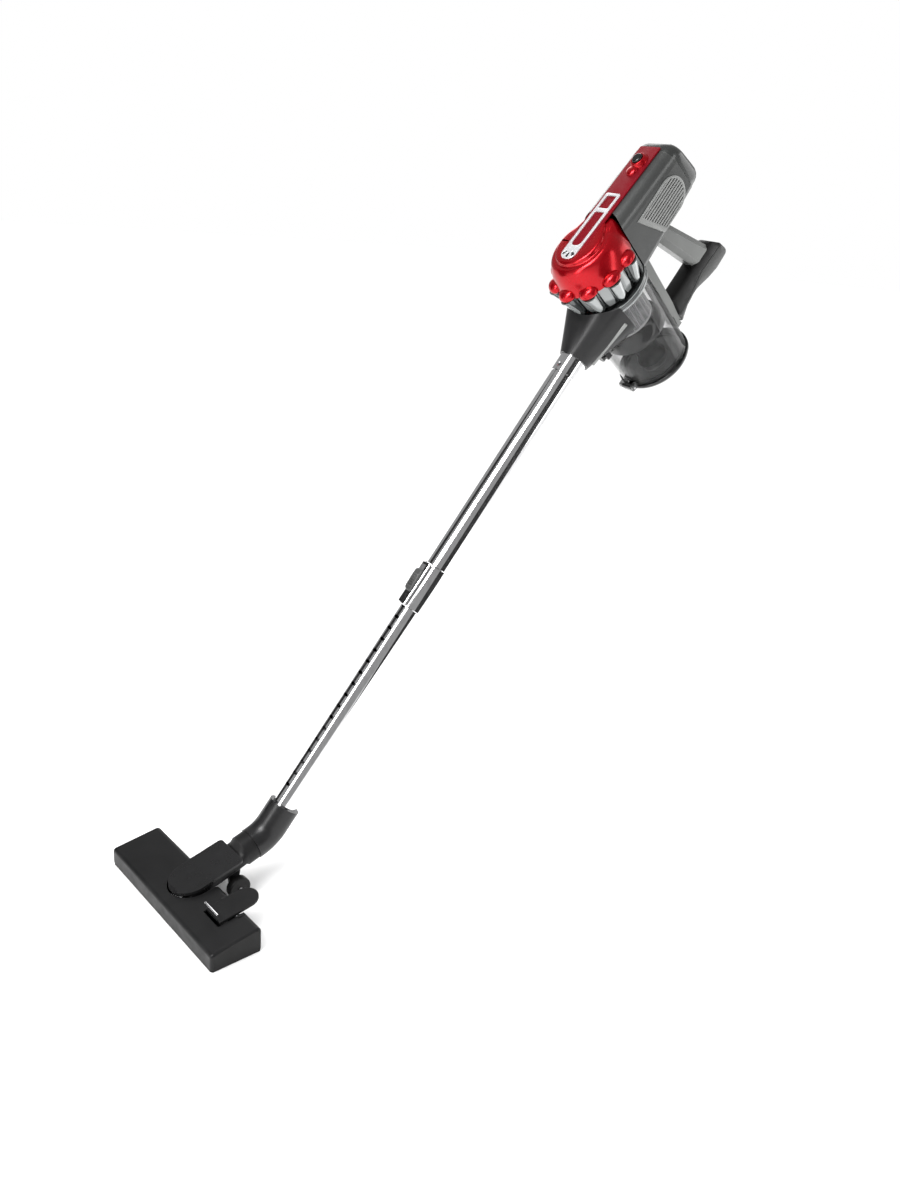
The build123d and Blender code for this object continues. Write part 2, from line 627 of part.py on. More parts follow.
STRIP_WIDTH = 35
STRIP_END = 156
COVER_WALL = 2.2
with BuildPart() as red_cover:
    with BuildSketch(crown_side):
        Polygon(*[(radius, height) for radius, height in dome_points(0)], align=None)
    revolve(axis=crown_axis)
    with BuildSketch(crown.offset(-COVER_TOP)):
        with Locations((0, STRIP_END / 2)):
            Rectangle(STRIP_WIDTH, STRIP_END)
    extrude(amount=1.8)
    with BuildSketch(crown.offset(-COVER_TOP)):
        with Locations((0, COVER_RADIUS / 2)):
            Rectangle(STRIP_WIDTH, COVER_RADIUS)
    extrude(amount=12)
    for angle in lobe_angles():
        lobe_across = LOBE_RING * cos(radians(angle))
        lobe_along = LOBE_RING * sin(radians(angle))
        add(Sphere(LOBE_RADIUS, mode=Mode.PRIVATE).moved(crown.location * Location((lobe_across, lobe_along, 0))))
    with BuildSketch(crown.offset(3)):
        Circle(80)
    extrude(amount=20, mode=Mode.SUBTRACT)
    with BuildSketch(crown_side):
        Polygon(*dome_points(COVER_WALL), align=None)
    revolve(axis=crown_axis, mode=Mode.SUBTRACT)
    # turret round the power button
    with BuildSketch(crown.offset(-COVER_TOP)):
        with Locations((0, BUTTON_UP)):
            Circle(11.5)
    with BuildSketch(crown.offset(-COVER_TOP - 6)):
        with Locations((0, BUTTON_UP)):
            Circle(8.6)
    loft()
    with BuildSketch(crown.offset(-COVER_TOP - 8)):
        with Locations((0, BUTTON_UP)):
            Circle(BUTTON_RADIUS + 0.3)
    extrude(amount=12, mode=Mode.SUBTRACT)
red_cover.part.label = "red_cover"
export_step(red_cover.part, "parts/red_cover.step")

with BuildPart() as power_button:
    with BuildSketch(crown.offset(-COVER_TOP - 8.5)):
        with Locations((0, BUTTON_UP)):
            Circle(BUTTON_RADIUS)
    extrude(amount=8.1)
    fillet(power_button.faces().sort_by(crown_axis)[0].edges(), 2)
power_button.part.label = "power_button"
export_step(power_button.part, "parts/power_button.step")

with BuildPart() as silver_trim:
    with BuildSketch(crown.offset(-COVER_TOP)) as trim_outline:
        with Locations((0, (TRIM_TOP + TRIM_BOTTOM) / 2)):
            RectangleRounded(2 * TRIM_HALF, TRIM_TOP - TRIM_BOTTOM, TRIM_HALF - 0.5)
        with Locations((0, TRIM_TOP - 12)):
            RectangleRounded(2 * TRIM_HALF, 24, 3)
        for low, high in ((TRIM_BAR + 3, TRIM_TOP - 4), (TRIM_BOTTOM + 17, TRIM_BAR - 3)):
            with Locations((0, (low + high) / 2)):
                RectangleRounded(2 * TRIM_HALF - 9, high - low, 3, mode=Mode.SUBTRACT)
        # three cooling slits in the round end
        for slit_angle in (-125, -90, -55):
            with Locations(Location((0, TRIM_BOTTOM + TRIM_HALF + 3, 0), (0, 0, slit_angle))):
                with Locations((TRIM_HALF - 3, 0)):
                    Rectangle(8, 2.4, mode=Mode.SUBTRACT)
    extrude(amount=-1.4)
silver_trim.part.label = "silver_trim"
export_step(silver_trim.part, "parts/silver_trim.step")

# cyclone block: tapering core, seven exposed cones and the plain wall behind
CORE_TOP_RADIUS = 43
CORE_END_RADIUS = 41
CONE_TOP_RADIUS = 10
CONE_END_RADIUS = 6
CONE_END_RING = 46
with BuildPart() as cyclone_block:
    with BuildSketch(crown_side):
        Polygon(
            (CORE_TOP_RADIUS, 3),
            (CORE_END_RADIUS, CONE_END),
            (CORE_END_RADIUS - 3, CONE_END),
            (CORE_TOP_RADIUS - 3, 3),
            align=None,
        )
    revolve(axis=crown_axis)
    for angle in lobe_angles():
        away = Vector(cos(radians(angle)), sin(radians(angle)), 0)
        with BuildSketch(crown.offset(3)):
            with Locations((LOBE_RING * away.X, LOBE_RING * away.Y)):
                Circle(CONE_TOP_RADIUS)
        with BuildSketch(crown.offset(CONE_END)):
            with Locations((CONE_END_RING * away.X, CONE_END_RING * away.Y)):
                Circle(CONE_END_RADIUS)
        loft()
    # wall behind the exposed cones
    with BuildSketch(crown_half(REAR_WALL_START)):
        Polygon((CORE_END_RADIUS - 1, CONE_END - 4), (53.2, CONE_END - 4), (53.2, CONE_END),
                (CORE_END_RADIUS - 1, CONE_END), align=None)
        Polygon((50.5, 3.2), (53.2, 3.2), (53.2, CONE_END), (50.5, CONE_END), align=None)
    revolve(axis=crown_axis, revolution_arc=180 - 2 * REAR_WALL_START)
cyclone_block.part.label = "cyclone_block"
export_step(cyclone_block.part, "parts/cyclone_block.step")

with BuildPart() as cup_collar:
    with BuildSketch(crown_side):
        Polygon(
            (COLLAR_RADIUS - 2, CONE_END + 0.2),
            (COLLAR_RADIUS, CONE_END + 1.5),
            (COLLAR_RADIUS, CUP_TOP - 1.5),
            (COLLAR_RADIUS - 1.5, CUP_TOP),
            (MESH_RADIUS + 1, CUP_TOP),
            (MESH_RADIUS + 1, CUP_TOP - 4),
            (COLLAR_RADIUS - 6, CUP_TOP - 5),
            (COLLAR_RADIUS - 6, CONE_END + 0.2),
            align=None,
        )
    revolve(axis=crown_axis)
cup_collar.part.label = "cup_collar"
export_step(cup_collar.part, "parts/cup_collar.step")

with BuildPart() as mesh_filter:
    with BuildSketch(crown.offset(CUP_TOP + 0.2)):
        Circle(MESH_RADIUS)
        Circle(MESH_RADIUS - 1.6, mode=Mode.SUBTRACT)
    extrude(amount=MESH_END - CUP_TOP - 0.2)
    # fine slots round the filter wall
    for slot_row in range(3):
        row_middle = CUP_TOP + 12 + slot_row * 18
        for slot in range(0, 180, 15):
            with BuildSketch(crown_half(slot)):
                with Locations((0, row_middle)):
                    Rectangle(2 * MESH_RADIUS + 4, 13)
            extrude(amount=0.6, both=True, mode=Mode.SUBTRACT)
mesh_filter.part.label = "mesh_filter"
export_step(mesh_filter.part, "parts/mesh_filter.step")

with BuildPart() as shroud_skirt:
    with BuildSketch(crown_side):
        Polygon(
            (MESH_RADIUS - 1.4, MESH_END + 0.2),
            (MESH_RADIUS + 1, MESH_END + 0.2),
            (SKIRT_RADIUS, SKIRT_END - 5),
            (SKIRT_RADIUS, SKIRT_END),
            (SKIRT_RADIUS - 2, SKIRT_END),
            (SKIRT_RADIUS - 2.4, SKIRT_END - 5),
            (MESH_RADIUS - 3, MESH_END + 4),
            (DUST_TUBE_RADIUS + 0.1, MESH_END + 4),
            (DUST_TUBE_RADIUS + 0.1, MESH_END + 0.2),
            align=None,
        )
    revolve(axis=crown_axis)
shroud_skirt.part.label = "shroud_skirt"
export_step(shroud_skirt.part, "parts/shroud_skirt.step")

with BuildPart() as fine_dust_tube:
    with BuildSketch(crown_side):
        Polygon(
            (DUST_TUBE_RADIUS, MESH_END - 20),
            (DUST_TUBE_RADIUS, CUP_END - 16),
            (DUST_TUBE_RADIUS + 5, CUP_END - 2),
            (DUST_TUBE_RADIUS + 3, CUP_END - 2),
            (DUST_TUBE_RADIUS - 2, CUP_END - 16),
            (DUST_TUBE_RADIUS - 2, MESH_END - 20),
            align=None,
        )
    revolve(axis=crown_axis)
fine_dust_tube.part.label = "fine_dust_tube"
export_step(fine_dust_tube.part, "parts/fine_dust_tube.step")

with BuildPart() as dust_cup:
    with BuildSketch(crown_side):
        Polygon(
            (CUP_TOP_RADIUS - CUP_WALL, CUP_TOP + 0.2),
            (CUP_TOP_RADIUS, CUP_TOP + 0.2),
            (CUP_END_RADIUS, CUP_END),
            (CUP_END_RADIUS - CUP_WALL, CUP_END),
            align=None,
        )
    revolve(axis=crown_axis)
    # hinge ears on the nozzle side
    for side in (-1, 1):
        with BuildSketch(crown_side.offset(side * 11)):
            with Locations((-CUP_END_RADIUS - 4, CUP_END - 4)):
                Rectangle(11, 7)
        extrude(amount=2.5, both=True)
    with BuildSketch(crown_side):
        Polygon(
            (0, CUP_TOP),
            (CUP_TOP_RADIUS - CUP_WALL, CUP_TOP),
            (CUP_END_RADIUS - CUP_WALL, CUP_END + 1),
            (0, CUP_END + 1),
            align=None,
        )
    revolve(axis=crown_axis, mode=Mode.SUBTRACT)
    with BuildSketch(crown_side):
        with Locations((LID_HINGE_OUT, LID_HINGE_AT)):
            Circle(HINGE_PIN_RADIUS)
    extrude(amount=20, both=True, mode=Mode.SUBTRACT)
    # ears and studs that the lid latch turns on
    for side in (-1, 1):
        with BuildSketch(latch_side.offset(side * (LATCH_HALF + BODY_GAP))):
            Polygon(
                (CUP_END_RADIUS - 1, LATCH_AXIS_AT - 6),
                (LATCH_AXIS_OUT + 2.6, LATCH_AXIS_AT - 2.6),
                (LATCH_AXIS_OUT + 2.6, LATCH_AXIS_AT + 2.6),
                (CUP_END_RADIUS - 1, LATCH_AXIS_AT + 6),
                align=None,
            )
        extrude(amount=side * 2)
        with BuildSketch(latch_side.offset(side * (LATCH_HALF + BODY_GAP))):
            with Locations((LATCH_AXIS_OUT, LATCH_AXIS_AT)):
                Circle(LATCH_STUD_RADIUS)
        extrude(amount=side * -2.3)
dust_cup.part.label = "dust_cup"
export_step(dust_cup.part, "parts/dust_cup.step")

with BuildPart() as cup_lid:
    with BuildSketch(crown_side):
        Polygon(
            (0, CUP_END + 3),
            (CUP_END_RADIUS - 5, CUP_END + 3),
            (CUP_END_RADIUS - 4.5, CUP_END + BODY_GAP + 0.2),
            (CUP_END_RADIUS + 1.5, CUP_END + BODY_GAP + 0.2),
            (CUP_END_RADIUS + 1.5, CUP_END + 5),
            (CUP_END_RADIUS - 2, CUP_END + LID_THICKNESS),
            (CUP_END_RADIUS - 12, CUP_END + LID_THICKNESS - 1.5),
            (CUP_END_RADIUS - 14, CUP_END + LID_THICKNESS - 3),
            (0, CUP_END + LID_THICKNESS - 3),
            align=None,
        )
    revolve(axis=crown_axis)
    # knuckle between the cup's hinge ears, and the catch lip opposite
    with BuildSketch(crown_side):
        Polygon(
            (-CUP_END_RADIUS + 2, CUP_END + 7),
            (-CUP_END_RADIUS + 2, CUP_END + 1.5),
            (LID_HINGE_OUT - 1, LID_HINGE_AT - 3.4),
            (LID_HINGE_OUT - 3.4, LID_HINGE_AT),
            (LID_HINGE_OUT - 3, CUP_END + 5),
            align=None,
        )
        with Locations((LID_HINGE_OUT, LID_HINGE_AT)):
            Circle(3.4)
    extrude(amount=8, both=True)
    with BuildSketch(crown_side):
        Polygon(
            (0, CUP_END + 1),
            (0, 0),
            (-CUP_TOP_RADIUS - 0.5, 0),
            (-CUP_END_RADIUS - 0.5, CUP_END + 0.4),
            (-CUP_END_RADIUS + 4, CUP_END + 0.4),
            align=None,
        )
    extrude(amount=10, both=True, mode=Mode.SUBTRACT)
    with BuildSketch(crown_side):
        with Locations((LID_HINGE_OUT, LID_HINGE_AT)):
            Circle(HINGE_PIN_RADIUS + RUNNING_GAP)
    extrude(amount=20, both=True, mode=Mode.SUBTRACT)
    with BuildSketch(latch_side):
        Polygon(
            (CUP_END_RADIUS + 0.5, CUP_END + 1),
            (CUP_END_RADIUS + 4.5, CUP_END + 1),
            (CUP_END_RADIUS + 4.5, CUP_END + 5),
            (CUP_END_RADIUS + 0.5, CUP_END + 5),
            align=None,
        )
    extrude(amount=5, both=True)
cup_lid.part.label = "cup_lid"
export_step(cup_lid.part, "parts/cup_lid.step")

with BuildPart() as lid_hinge_pin:
    with BuildSketch(crown_side):
        with Locations((LID_HINGE_OUT, LID_HINGE_AT)):
            Circle(HINGE_PIN_RADIUS)
    extrude(amount=14, both=True)
lid_hinge_pin.part.label = "lid_hinge_pin"
export_step(lid_hinge_pin.part, "parts/lid_hinge_pin.step")

with BuildPart() as lid_latch:
    with BuildSketch(latch_side):
        Polygon(
            (CUP_END_RADIUS + 5.2, CUP_END - 22),
            (CUP_END_RADIUS + 7.6, CUP_END - 24),
            (CUP_END_RADIUS + 8.2, CUP_END + 7),
            (CUP_END_RADIUS + 1.5, CUP_END + 7),
            (CUP_END_RADIUS + 1.5, CUP_END + 5.4),
            (CUP_END_RADIUS + 5.2, CUP_END + 5.4),
            align=None,
        )
        with Locations((LATCH_AXIS_OUT, LATCH_AXIS_AT)):
            Circle(2.9)
    extrude(amount=LATCH_HALF, both=True)
    with BuildSketch(latch_side):
        with Locations((LATCH_AXIS_OUT, LATCH_AXIS_AT)):
            Circle(LATCH_STUD_RADIUS + RUNNING_GAP)
    extrude(amount=LATCH_HALF + 1, both=True, mode=Mode.SUBTRACT)
lid_latch.part.label = "lid_latch"
export_step(lid_latch.part, "parts/lid_latch.step")

with BuildPart() as lid_gasket:
    with BuildSketch(crown_side):
        Polygon(
            (CUP_END_RADIUS - 5.4, CUP_END + 2.9),
            (CUP_END_RADIUS - 4.8, CUP_END + 0.3),
            (CUP_END_RADIUS - 2.8, CUP_END - 0.3),
            (CUP_END_RADIUS - 2.9, CUP_END - 3),
            (CUP_END_RADIUS - 5.5, CUP_END - 3),
            (CUP_END_RADIUS - 8, CUP_END + 2.9),
            align=None,
        )
    revolve(axis=crown_axis)
lid_gasket.part.label = "lid_gasket"
export_step(lid_gasket.part, "parts/lid_gasket.step")

# ================================================================ hand unit: nozzle connector
MOUTH_RADIUS = 21
WING_HALF = 50
CONNECTOR_END = CONNECTOR_MOUTH + 74
TRIM_LOW = (19.6, 13.6, 756)
TRIM_HIGH = (46.6, -1, 816)
TRIM_RADIUS = 3
CATCH_HALF = 7
CATCH_END = 118
KNOB_AT = 112
KNOB_RADIUS = 5.5
KNOB_STEM_RADIUS = 2.5
KNOB_LIFT = 1.8        # how far the knob can be pushed in


def trim_rods(radius, mode):
    """Pair of slim rods laid along the connector's side edges."""
    for side in (-1, 1):
        low = wand.from_local_coords(Vector(side * TRIM_LOW[0], TRIM_LOW[1], TRIM_LOW[2]))
        high = wand.from_local_coords(Vector(side * TRIM_HIGH[0], TRIM_HIGH[1], TRIM_HIGH[2]))
        with Locations(Plane(origin=(low + high) / 2, z_dir=(high - low).normalized())):
            Cylinder(radius, (high - low).length, mode=mode)


with BuildPart() as nozzle_connector:
    with BuildSketch(wand.offset(CONNECTOR_MOUTH)):
        Circle(MOUTH_RADIUS)
    with BuildSketch(wand.offset(CONNECTOR_END)):
        with Locations((0, -5)):
            RectangleRounded(2 * WING_HALF, 78, 30)
    loft()
    # arm under the cup that carries the cup release
    with BuildSketch(crown_side):
        Polygon(
            (-COLLAR_RADIUS - 0.7, CUP_TOP + 2),
            (-62, CUP_TOP + 2),
            (-60, CATCH_END),
            (-CUP_TOP_RADIUS, CATCH_END),
            align=None,
        )
    extrude(amount=CATCH_HALF, both=True)
    with BuildSketch(crown.offset(-60)):
        Circle(COLLAR_RADIUS + 0.4)
    extrude(amount=60 + CUP_TOP + 8, mode=Mode.SUBTRACT)
    with BuildSketch(crown.offset(CUP_TOP + 2)):
        Circle(CUP_TOP_RADIUS + 0.3)
    extrude(amount=140, mode=Mode.SUBTRACT)
    # room for the cyclone cones
    for angle in (-126, -90, -54):
        away = Vector(cos(radians(angle)), sin(radians(angle)), 0)
        with BuildSketch(crown.offset(3)):
            with Locations((LOBE_RING * away.X, LOBE_RING * away.Y)):
                Circle(CONE_TOP_RADIUS + 0.2)
        with BuildSketch(crown.offset(CONE_END)):
            with Locations((CONE_END_RING * away.X, CONE_END_RING * away.Y)):
                Circle(CONE_END_RADIUS + 0.2)
        loft(mode=Mode.SUBTRACT)
    with BuildSketch(crown_side):
        with Locations((-60, KNOB_AT)):
            Rectangle(12, 2 * KNOB_STEM_RADIUS + 2 * RUNNING_GAP)
    extrude(amount=KNOB_STEM_RADIUS + RUNNING_GAP, both=True, mode=Mode.SUBTRACT)
    trim_rods(TRIM_RADIUS, Mode.SUBTRACT)
    with BuildSketch(wand.offset(CONNECTOR_MOUTH - 1)):
        Circle(SLEEVE_RADIUS + 0.1)
    extrude(amount=SLEEVE_HIGH - CONNECTOR_MOUTH + 1, mode=Mode.SUBTRACT)
    with BuildSketch(wand.offset(SLEEVE_HIGH - 1)):
        Circle(15)
    extrude(amount=40, mode=Mode.SUBTRACT)
nozzle_connector.part.label = "nozzle_connector"
export_step(nozzle_connector.part, "parts/nozzle_connector.step")

with BuildPart() as connector_trims:
    trim_rods(TRIM_RADIUS, Mode.ADD)
    fillet(connector_trims.edges().filter_by(GeomType.CIRCLE), 1.2)
connector_trims.part.label = "connector_trims"
export_step(connector_trims.part, "parts/connector_trims.step")

knob_plane = Plane(
    origin=crown.from_local_coords(Vector(0, -60 - KNOB_LIFT, KNOB_AT)),
    x_dir=crown.x_dir,
    z_dir=crown.y_dir * -1,
)
with BuildPart() as cup_release:
    with BuildSketch(knob_plane):
        Circle(KNOB_RADIUS)
    extrude(amount=4)
    fillet(cup_release.edges().filter_by(GeomType.CIRCLE), 1)
    with BuildSketch(knob_plane):
        Rectangle(2 * KNOB_STEM_RADIUS, 2 * KNOB_STEM_RADIUS)
    extrude(amount=-6)
cup_release.part.label = "cup_release"
export_step(cup_release.part, "parts/cup_release.step")

# ================================================================ hand unit: motor housing
def housing_section(up, inset):
    """Rounded section of the motor housing at a height up the wand."""
    share = (up - HOUSING_LOW) / (HOUSING_HIGH - HOUSING_LOW)
    top = -99.4 + 12.4 * share + inset
    under = -11 - 8 * share - inset
    half = HOUSING_HALF_WIDTH - share - inset
    with Locations((0, (top + under) / 2)):
        Rectangle(2 * half, under - top)


def housing_solid(low, high, inset, mode):
    """Loft the housing between two heights, inset by a wall."""
    sections = []
    for up in (low, high):
        with BuildSketch(wand.offset(up)) as section:
            housing_section(up, inset)
            fillet(section.vertices().group_by(Axis.Y)[0], 19 - inset)
            fillet(section.vertices().group_by(Axis.Y)[-1], 9 - inset)
        sections.append(section.sketch)
    loft(sections, mode=mode)


GLAND_UP = 973
GLAND_SIDE = -19        # beside the handle, on the left
GLAND_LENGTH = 12
GLAND_RADIUS = 5.8
GLAND_FLANGE = 7
gland_plane = Plane(
    origin=wand.from_local_coords(Vector(GLAND_SIDE, -17, GLAND_UP)),
    x_dir=wand.x_dir,
    z_dir=wand.y_dir,
)
with BuildPart() as motor_housing:
    housing_solid(HOUSING_LOW, HOUSING_HIGH, 0, Mode.ADD)
    housing_solid(HOUSING_LOW - 5, HOUSING_HIGH + 5, HOUSING_WALL, Mode.SUBTRACT)
    with BuildSketch(crown.offset(-80)):
        Circle(COLLAR_RADIUS + 0.4)
    extrude(amount=260, mode=Mode.SUBTRACT)
    # bed for the cover's strip, and the button's hole
    with BuildSketch(crown.offset(-COVER_TOP - 3)):
        with Locations((0, STRIP_END / 2)):
            Rectangle(STRIP_WIDTH + 0.1, STRIP_END + 0.1)
    extrude(amount=4.85, mode=Mode.SUBTRACT)
    with BuildSketch(crown.offset(-COVER_TOP - 3)):
        with Locations((0, COVER_RADIUS / 2)):
            Rectangle(STRIP_WIDTH + 0.1, COVER_RADIUS + 6)
    extrude(amount=15.05, mode=Mode.SUBTRACT)
    with BuildSketch(crown.offset(-COVER_TOP)):
        with Locations((0, BUTTON_UP)):
            Circle(BUTTON_RADIUS + BODY_GAP)
    extrude(amount=8, mode=Mode.SUBTRACT)
    with BuildSketch(gland_plane):
        Circle(GLAND_RADIUS)
    extrude(amount=12, both=True, mode=Mode.SUBTRACT)
    # side windows for the vent grilles
    with BuildSketch(profile):
        Polygon(*VENT_POINTS, align=None)
        with Locations(VENT_ARCH):
            Circle(VENT_RADIUS)
    extrude(amount=60, both=True, mode=Mode.SUBTRACT)
motor_housing.part.label = "motor_housing"
export_step(motor_housing.part, "parts/motor_housing.step")

CAP_SCREW_X = 23
CAP_SCREW_BACK = -29
# cord gland on the underside of the housing
with BuildPart() as cord_gland:
    with BuildSketch(gland_plane.offset(-3.5)):
        Circle(GLAND_RADIUS)
    extrude(amount=GLAND_LENGTH)
    with BuildSketch(gland_plane.offset(0.4)):
        Circle(GLAND_FLANGE)
    extrude(amount=2)
    chamfer(cord_gland.faces().sort_by(Axis(gland_plane.origin, gland_plane.z_dir))[-1].edges(), 1)
    with BuildSketch(gland_plane.offset(-4)):
        Circle(CORD_RADIUS)
    extrude(amount=GLAND_LENGTH + 2, mode=Mode.SUBTRACT)
cord_gland.part.label = "cord_gland"
export_step(cord_gland.part, "parts/cord_gland.step")

with BuildPart() as end_cap:
    housing_solid(HOUSING_HIGH + 0.3, HOUSING_HIGH + CAP_LENGTH, 0, Mode.ADD)
    fillet(end_cap.faces().sort_by(Axis(wand.origin, wand.z_dir))[-1].edges(), 6)
    housing_solid(HOUSING_HIGH - 5, HOUSING_HIGH + CAP_LENGTH - 6, HOUSING_WALL, Mode.SUBTRACT)
    with BuildSketch(wand.offset(HOUSING_HIGH)):
        for slot in range(7):
            with Locations((0, -78 + 7 * slot)):
                SlotOverall(40, 3)
        with Locations((-CAP_SCREW_X, CAP_SCREW_BACK), (CAP_SCREW_X, CAP_SCREW_BACK)):
            Circle(1.45)
    extrude(amount=30, mode=Mode.SUBTRACT)
end_cap.part.label = "end_cap"
export_step(end_cap.part, "parts/end_cap.step")

for grille_name, grille_side in (("vent_grille_left", -1), ("vent_grille_right", 1)):
    with BuildPart() as vent_grille:
        with BuildSketch(profile.offset(grille_side * (HOUSING_HALF_WIDTH - 2.6))):
            Polygon(*VENT_POINTS, align=None)
            with Locations(VENT_ARCH):
                Circle(VENT_RADIUS)
            offset(amount=-0.15)
        extrude(amount=grille_side * 4)
        for slot in range(VENT_SLOTS):
            slot_back = VENT_FIRST_SLOT + slot * VENT_SLOT_PITCH
            slot_low = 931 + (slot_back + 67) * 0.5
            slot_high = VENT_ARCH[1] - 4 + (VENT_RADIUS ** 2 - (slot_back - VENT_ARCH[0]) ** 2) ** 0.5
            with BuildSketch(profile):
                with Locations((slot_back, (slot_low + slot_high) / 2)):
                    SlotOverall(slot_high - slot_low, 2.8, rotation=90)
            extrude(amount=60, both=True, mode=Mode.SUBTRACT)
    vent_grille.part.label = grille_name
    export_step(vent_grille.part, "parts/" + grille_name + ".step")

# ================================================================ hand unit: inside the housing
MOTOR_AXIS_BACK = -54
MOTOR_RADIUS = 25
MOTOR_LOW = 925
MOTOR_HIGH = 972
SHAFT_RADIUS = 3
with BuildPart() as motor_can:
    with BuildSketch(wand.offset(MOTOR_LOW)):
        with Locations((0, MOTOR_AXIS_BACK)):
            Circle(MOTOR_RADIUS)
    extrude(amount=MOTOR_HIGH - MOTOR_LOW)
    chamfer(motor_can.edges().filter_by(GeomType.CIRCLE), 2)
    with BuildSketch(wand.offset(MOTOR_LOW)):
        with Locations((0, MOTOR_AXIS_BACK)):
            Circle(SHAFT_RADIUS + RUNNING_GAP)
    extrude(amount=20, mode=Mode.SUBTRACT)
motor_can.part.label = "motor_can"
export_step(motor_can.part, "parts/motor_can.step")

with BuildPart() as motor_mount:
    housing_solid(MOTOR_LOW + 8, MOTOR_LOW + 16, HOUSING_WALL + 0.2, Mode.ADD)
    with BuildSketch(wand.offset(MOTOR_LOW)):
        with Locations((0, MOTOR_AXIS_BACK)):
            Circle(MOTOR_RADIUS)
    extrude(amount=30, mode=Mode.SUBTRACT)
motor_mount.part.label = "motor_mount"
export_step(motor_mount.part, "parts/motor_mount.step")

with BuildPart() as motor_shaft:
    with BuildSketch(wand.offset(MOTOR_LOW - 16)):
        with Locations((0, MOTOR_AXIS_BACK)):
            Circle(SHAFT_RADIUS)
    extrude(amount=34)
motor_shaft.part.label = "motor_shaft"
export_step(motor_shaft.part, "parts/motor_shaft.step")

with BuildPart() as fan_impeller:
    with BuildSketch(wand.offset(MOTOR_LOW - 4)):
        with Locations((0, MOTOR_AXIS_BACK)):
            Circle(23)
    extrude(amount=2)
    with BuildSketch(wand.offset(MOTOR_LOW - 13)):
        with Locations((0, MOTOR_AXIS_BACK)):
            Circle(6)
            with PolarLocations(14, 9):
                Rectangle(16, 1.6, rotation=35)
    extrude(amount=10)
    with BuildSketch(wand.offset(MOTOR_LOW - 20)):
        with Locations((0, MOTOR_AXIS_BACK)):
            Circle(SHAFT_RADIUS)
    extrude(amount=30, mode=Mode.SUBTRACT)
fan_impeller.part.label = "fan_impeller"
export_step(fan_impeller.part, "parts/fan_impeller.step")

with BuildPart() as exhaust_filter:
    housing_solid(HOUSING_HIGH - 24, HOUSING_HIGH - 6, HOUSING_WALL + 0.4, Mode.ADD)
    with BuildSketch(wand.offset(HOUSING_HIGH - 24)):
        for pleat in range(9):
            with Locations((-28 + 7 * pleat, -54)):
                Rectangle(3, 52)
    extrude(amount=12, mode=Mode.SUBTRACT)
exhaust_filter.part.label = "exhaust_filter"
export_step(exhaust_filter.part, "parts/exhaust_filter.step")

with BuildPart() as power_switch:
    with BuildSketch(crown.offset(-COVER_TOP + 5)):
        with Locations((0, BUTTON_UP - 26)):
            Rectangle(14, 20)
    extrude(amount=6)
power_switch.part.label = "power_switch"
export_step(power_switch.part, "parts/power_switch.step")

CAP_FACE = HOUSING_HIGH + CAP_LENGTH
with BuildPart() as cap_screws:
    for side in (-1, 1):
        with BuildSketch(wand.offset(CAP_FACE + 0.05)):
            with Locations((side * CAP_SCREW_X, CAP_SCREW_BACK)):
                Circle(2.8)
                Rectangle(3.6, 0.9, mode=Mode.SUBTRACT)
        extrude(amount=1.2)
        with BuildSketch(wand.offset(CAP_FACE - 8)):
            with Locations((side * CAP_SCREW_X, CAP_SCREW_BACK)):
                Circle(1.4)
        extrude(amount=8.4)
cap_screws.part.label = "cap_screws"
export_step(cap_screws.part, "parts/cap_screws.step")

# ================================================================ hand unit: handle
ARM_HALF = 15
SPINE_HALF = 11
GRIP_HALF = 13
GRIP_FRONT = 81
CORE_HALF = 6
CORE_POINTS = ((87, 893), (98, 893), (93, 990), (87, 990))
SPINE_TOP = 66
SPINE_END = 63


def core_outline():
    """Bar inside the grip, drawn on the profile plane."""
    Polygon(*CORE_POINTS, align=None)
    Polygon((GRIP_FRONT - 2, 966), (90, 966), (90, 985), (GRIP_FRONT - 2, 985), align=None)


def spine_outline(gap):
    """Rib that hugs the cup, drawn on the crown's side plane."""
    Polygon(
        (COLLAR_RADIUS + 1 - gap, CUP_TOP + 0.6),
        (SPINE_TOP + gap, CUP_TOP + 0.6),
        (SPINE_END + gap, CUP_END - 6),
        (CUP_END_RADIUS + 0.8 - gap, CUP_END - 28),
        (CUP_TOP_RADIUS + 0.5 - gap, CUP_TOP + 8),
        align=None,
    )


def foot_outline(gap):
    """Foot of the grip, drawn on the profile plane."""
    Polygon((86, 894), (122, 888.6), (122 + gap, 896 + gap), (112, 896 + gap), (86, 902 + gap), align=None)


with BuildPart() as handle_frame:
    with BuildSketch(profile):
        Polygon((-30, 931.2), (GRIP_FRONT - 0.1, 960), (GRIP_FRONT - 0.1, 994.5), (-30, 955.2), align=None)
    extrude(amount=ARM_HALF, both=True)
    chamfer(handle_frame.edges().filter_by(lambda edge: edge.length > 100), 7)
    with BuildSketch(crown_side):
        spine_outline(0)
    extrude(amount=SPINE_HALF, both=True)
    with BuildSketch(profile):
        foot_outline(0)
    extrude(amount=SPINE_HALF, both=True)
    # core bar inside the grip joins the arm to the foot
    with BuildSketch(profile):
        core_outline()
    extrude(amount=CORE_HALF, both=True)
    housing_solid(HOUSING_LOW, HOUSING_HIGH, -0.05, Mode.SUBTRACT)
handle_frame.part.label = "handle_frame"
export_step(handle_frame.part, "parts/handle_frame.step")

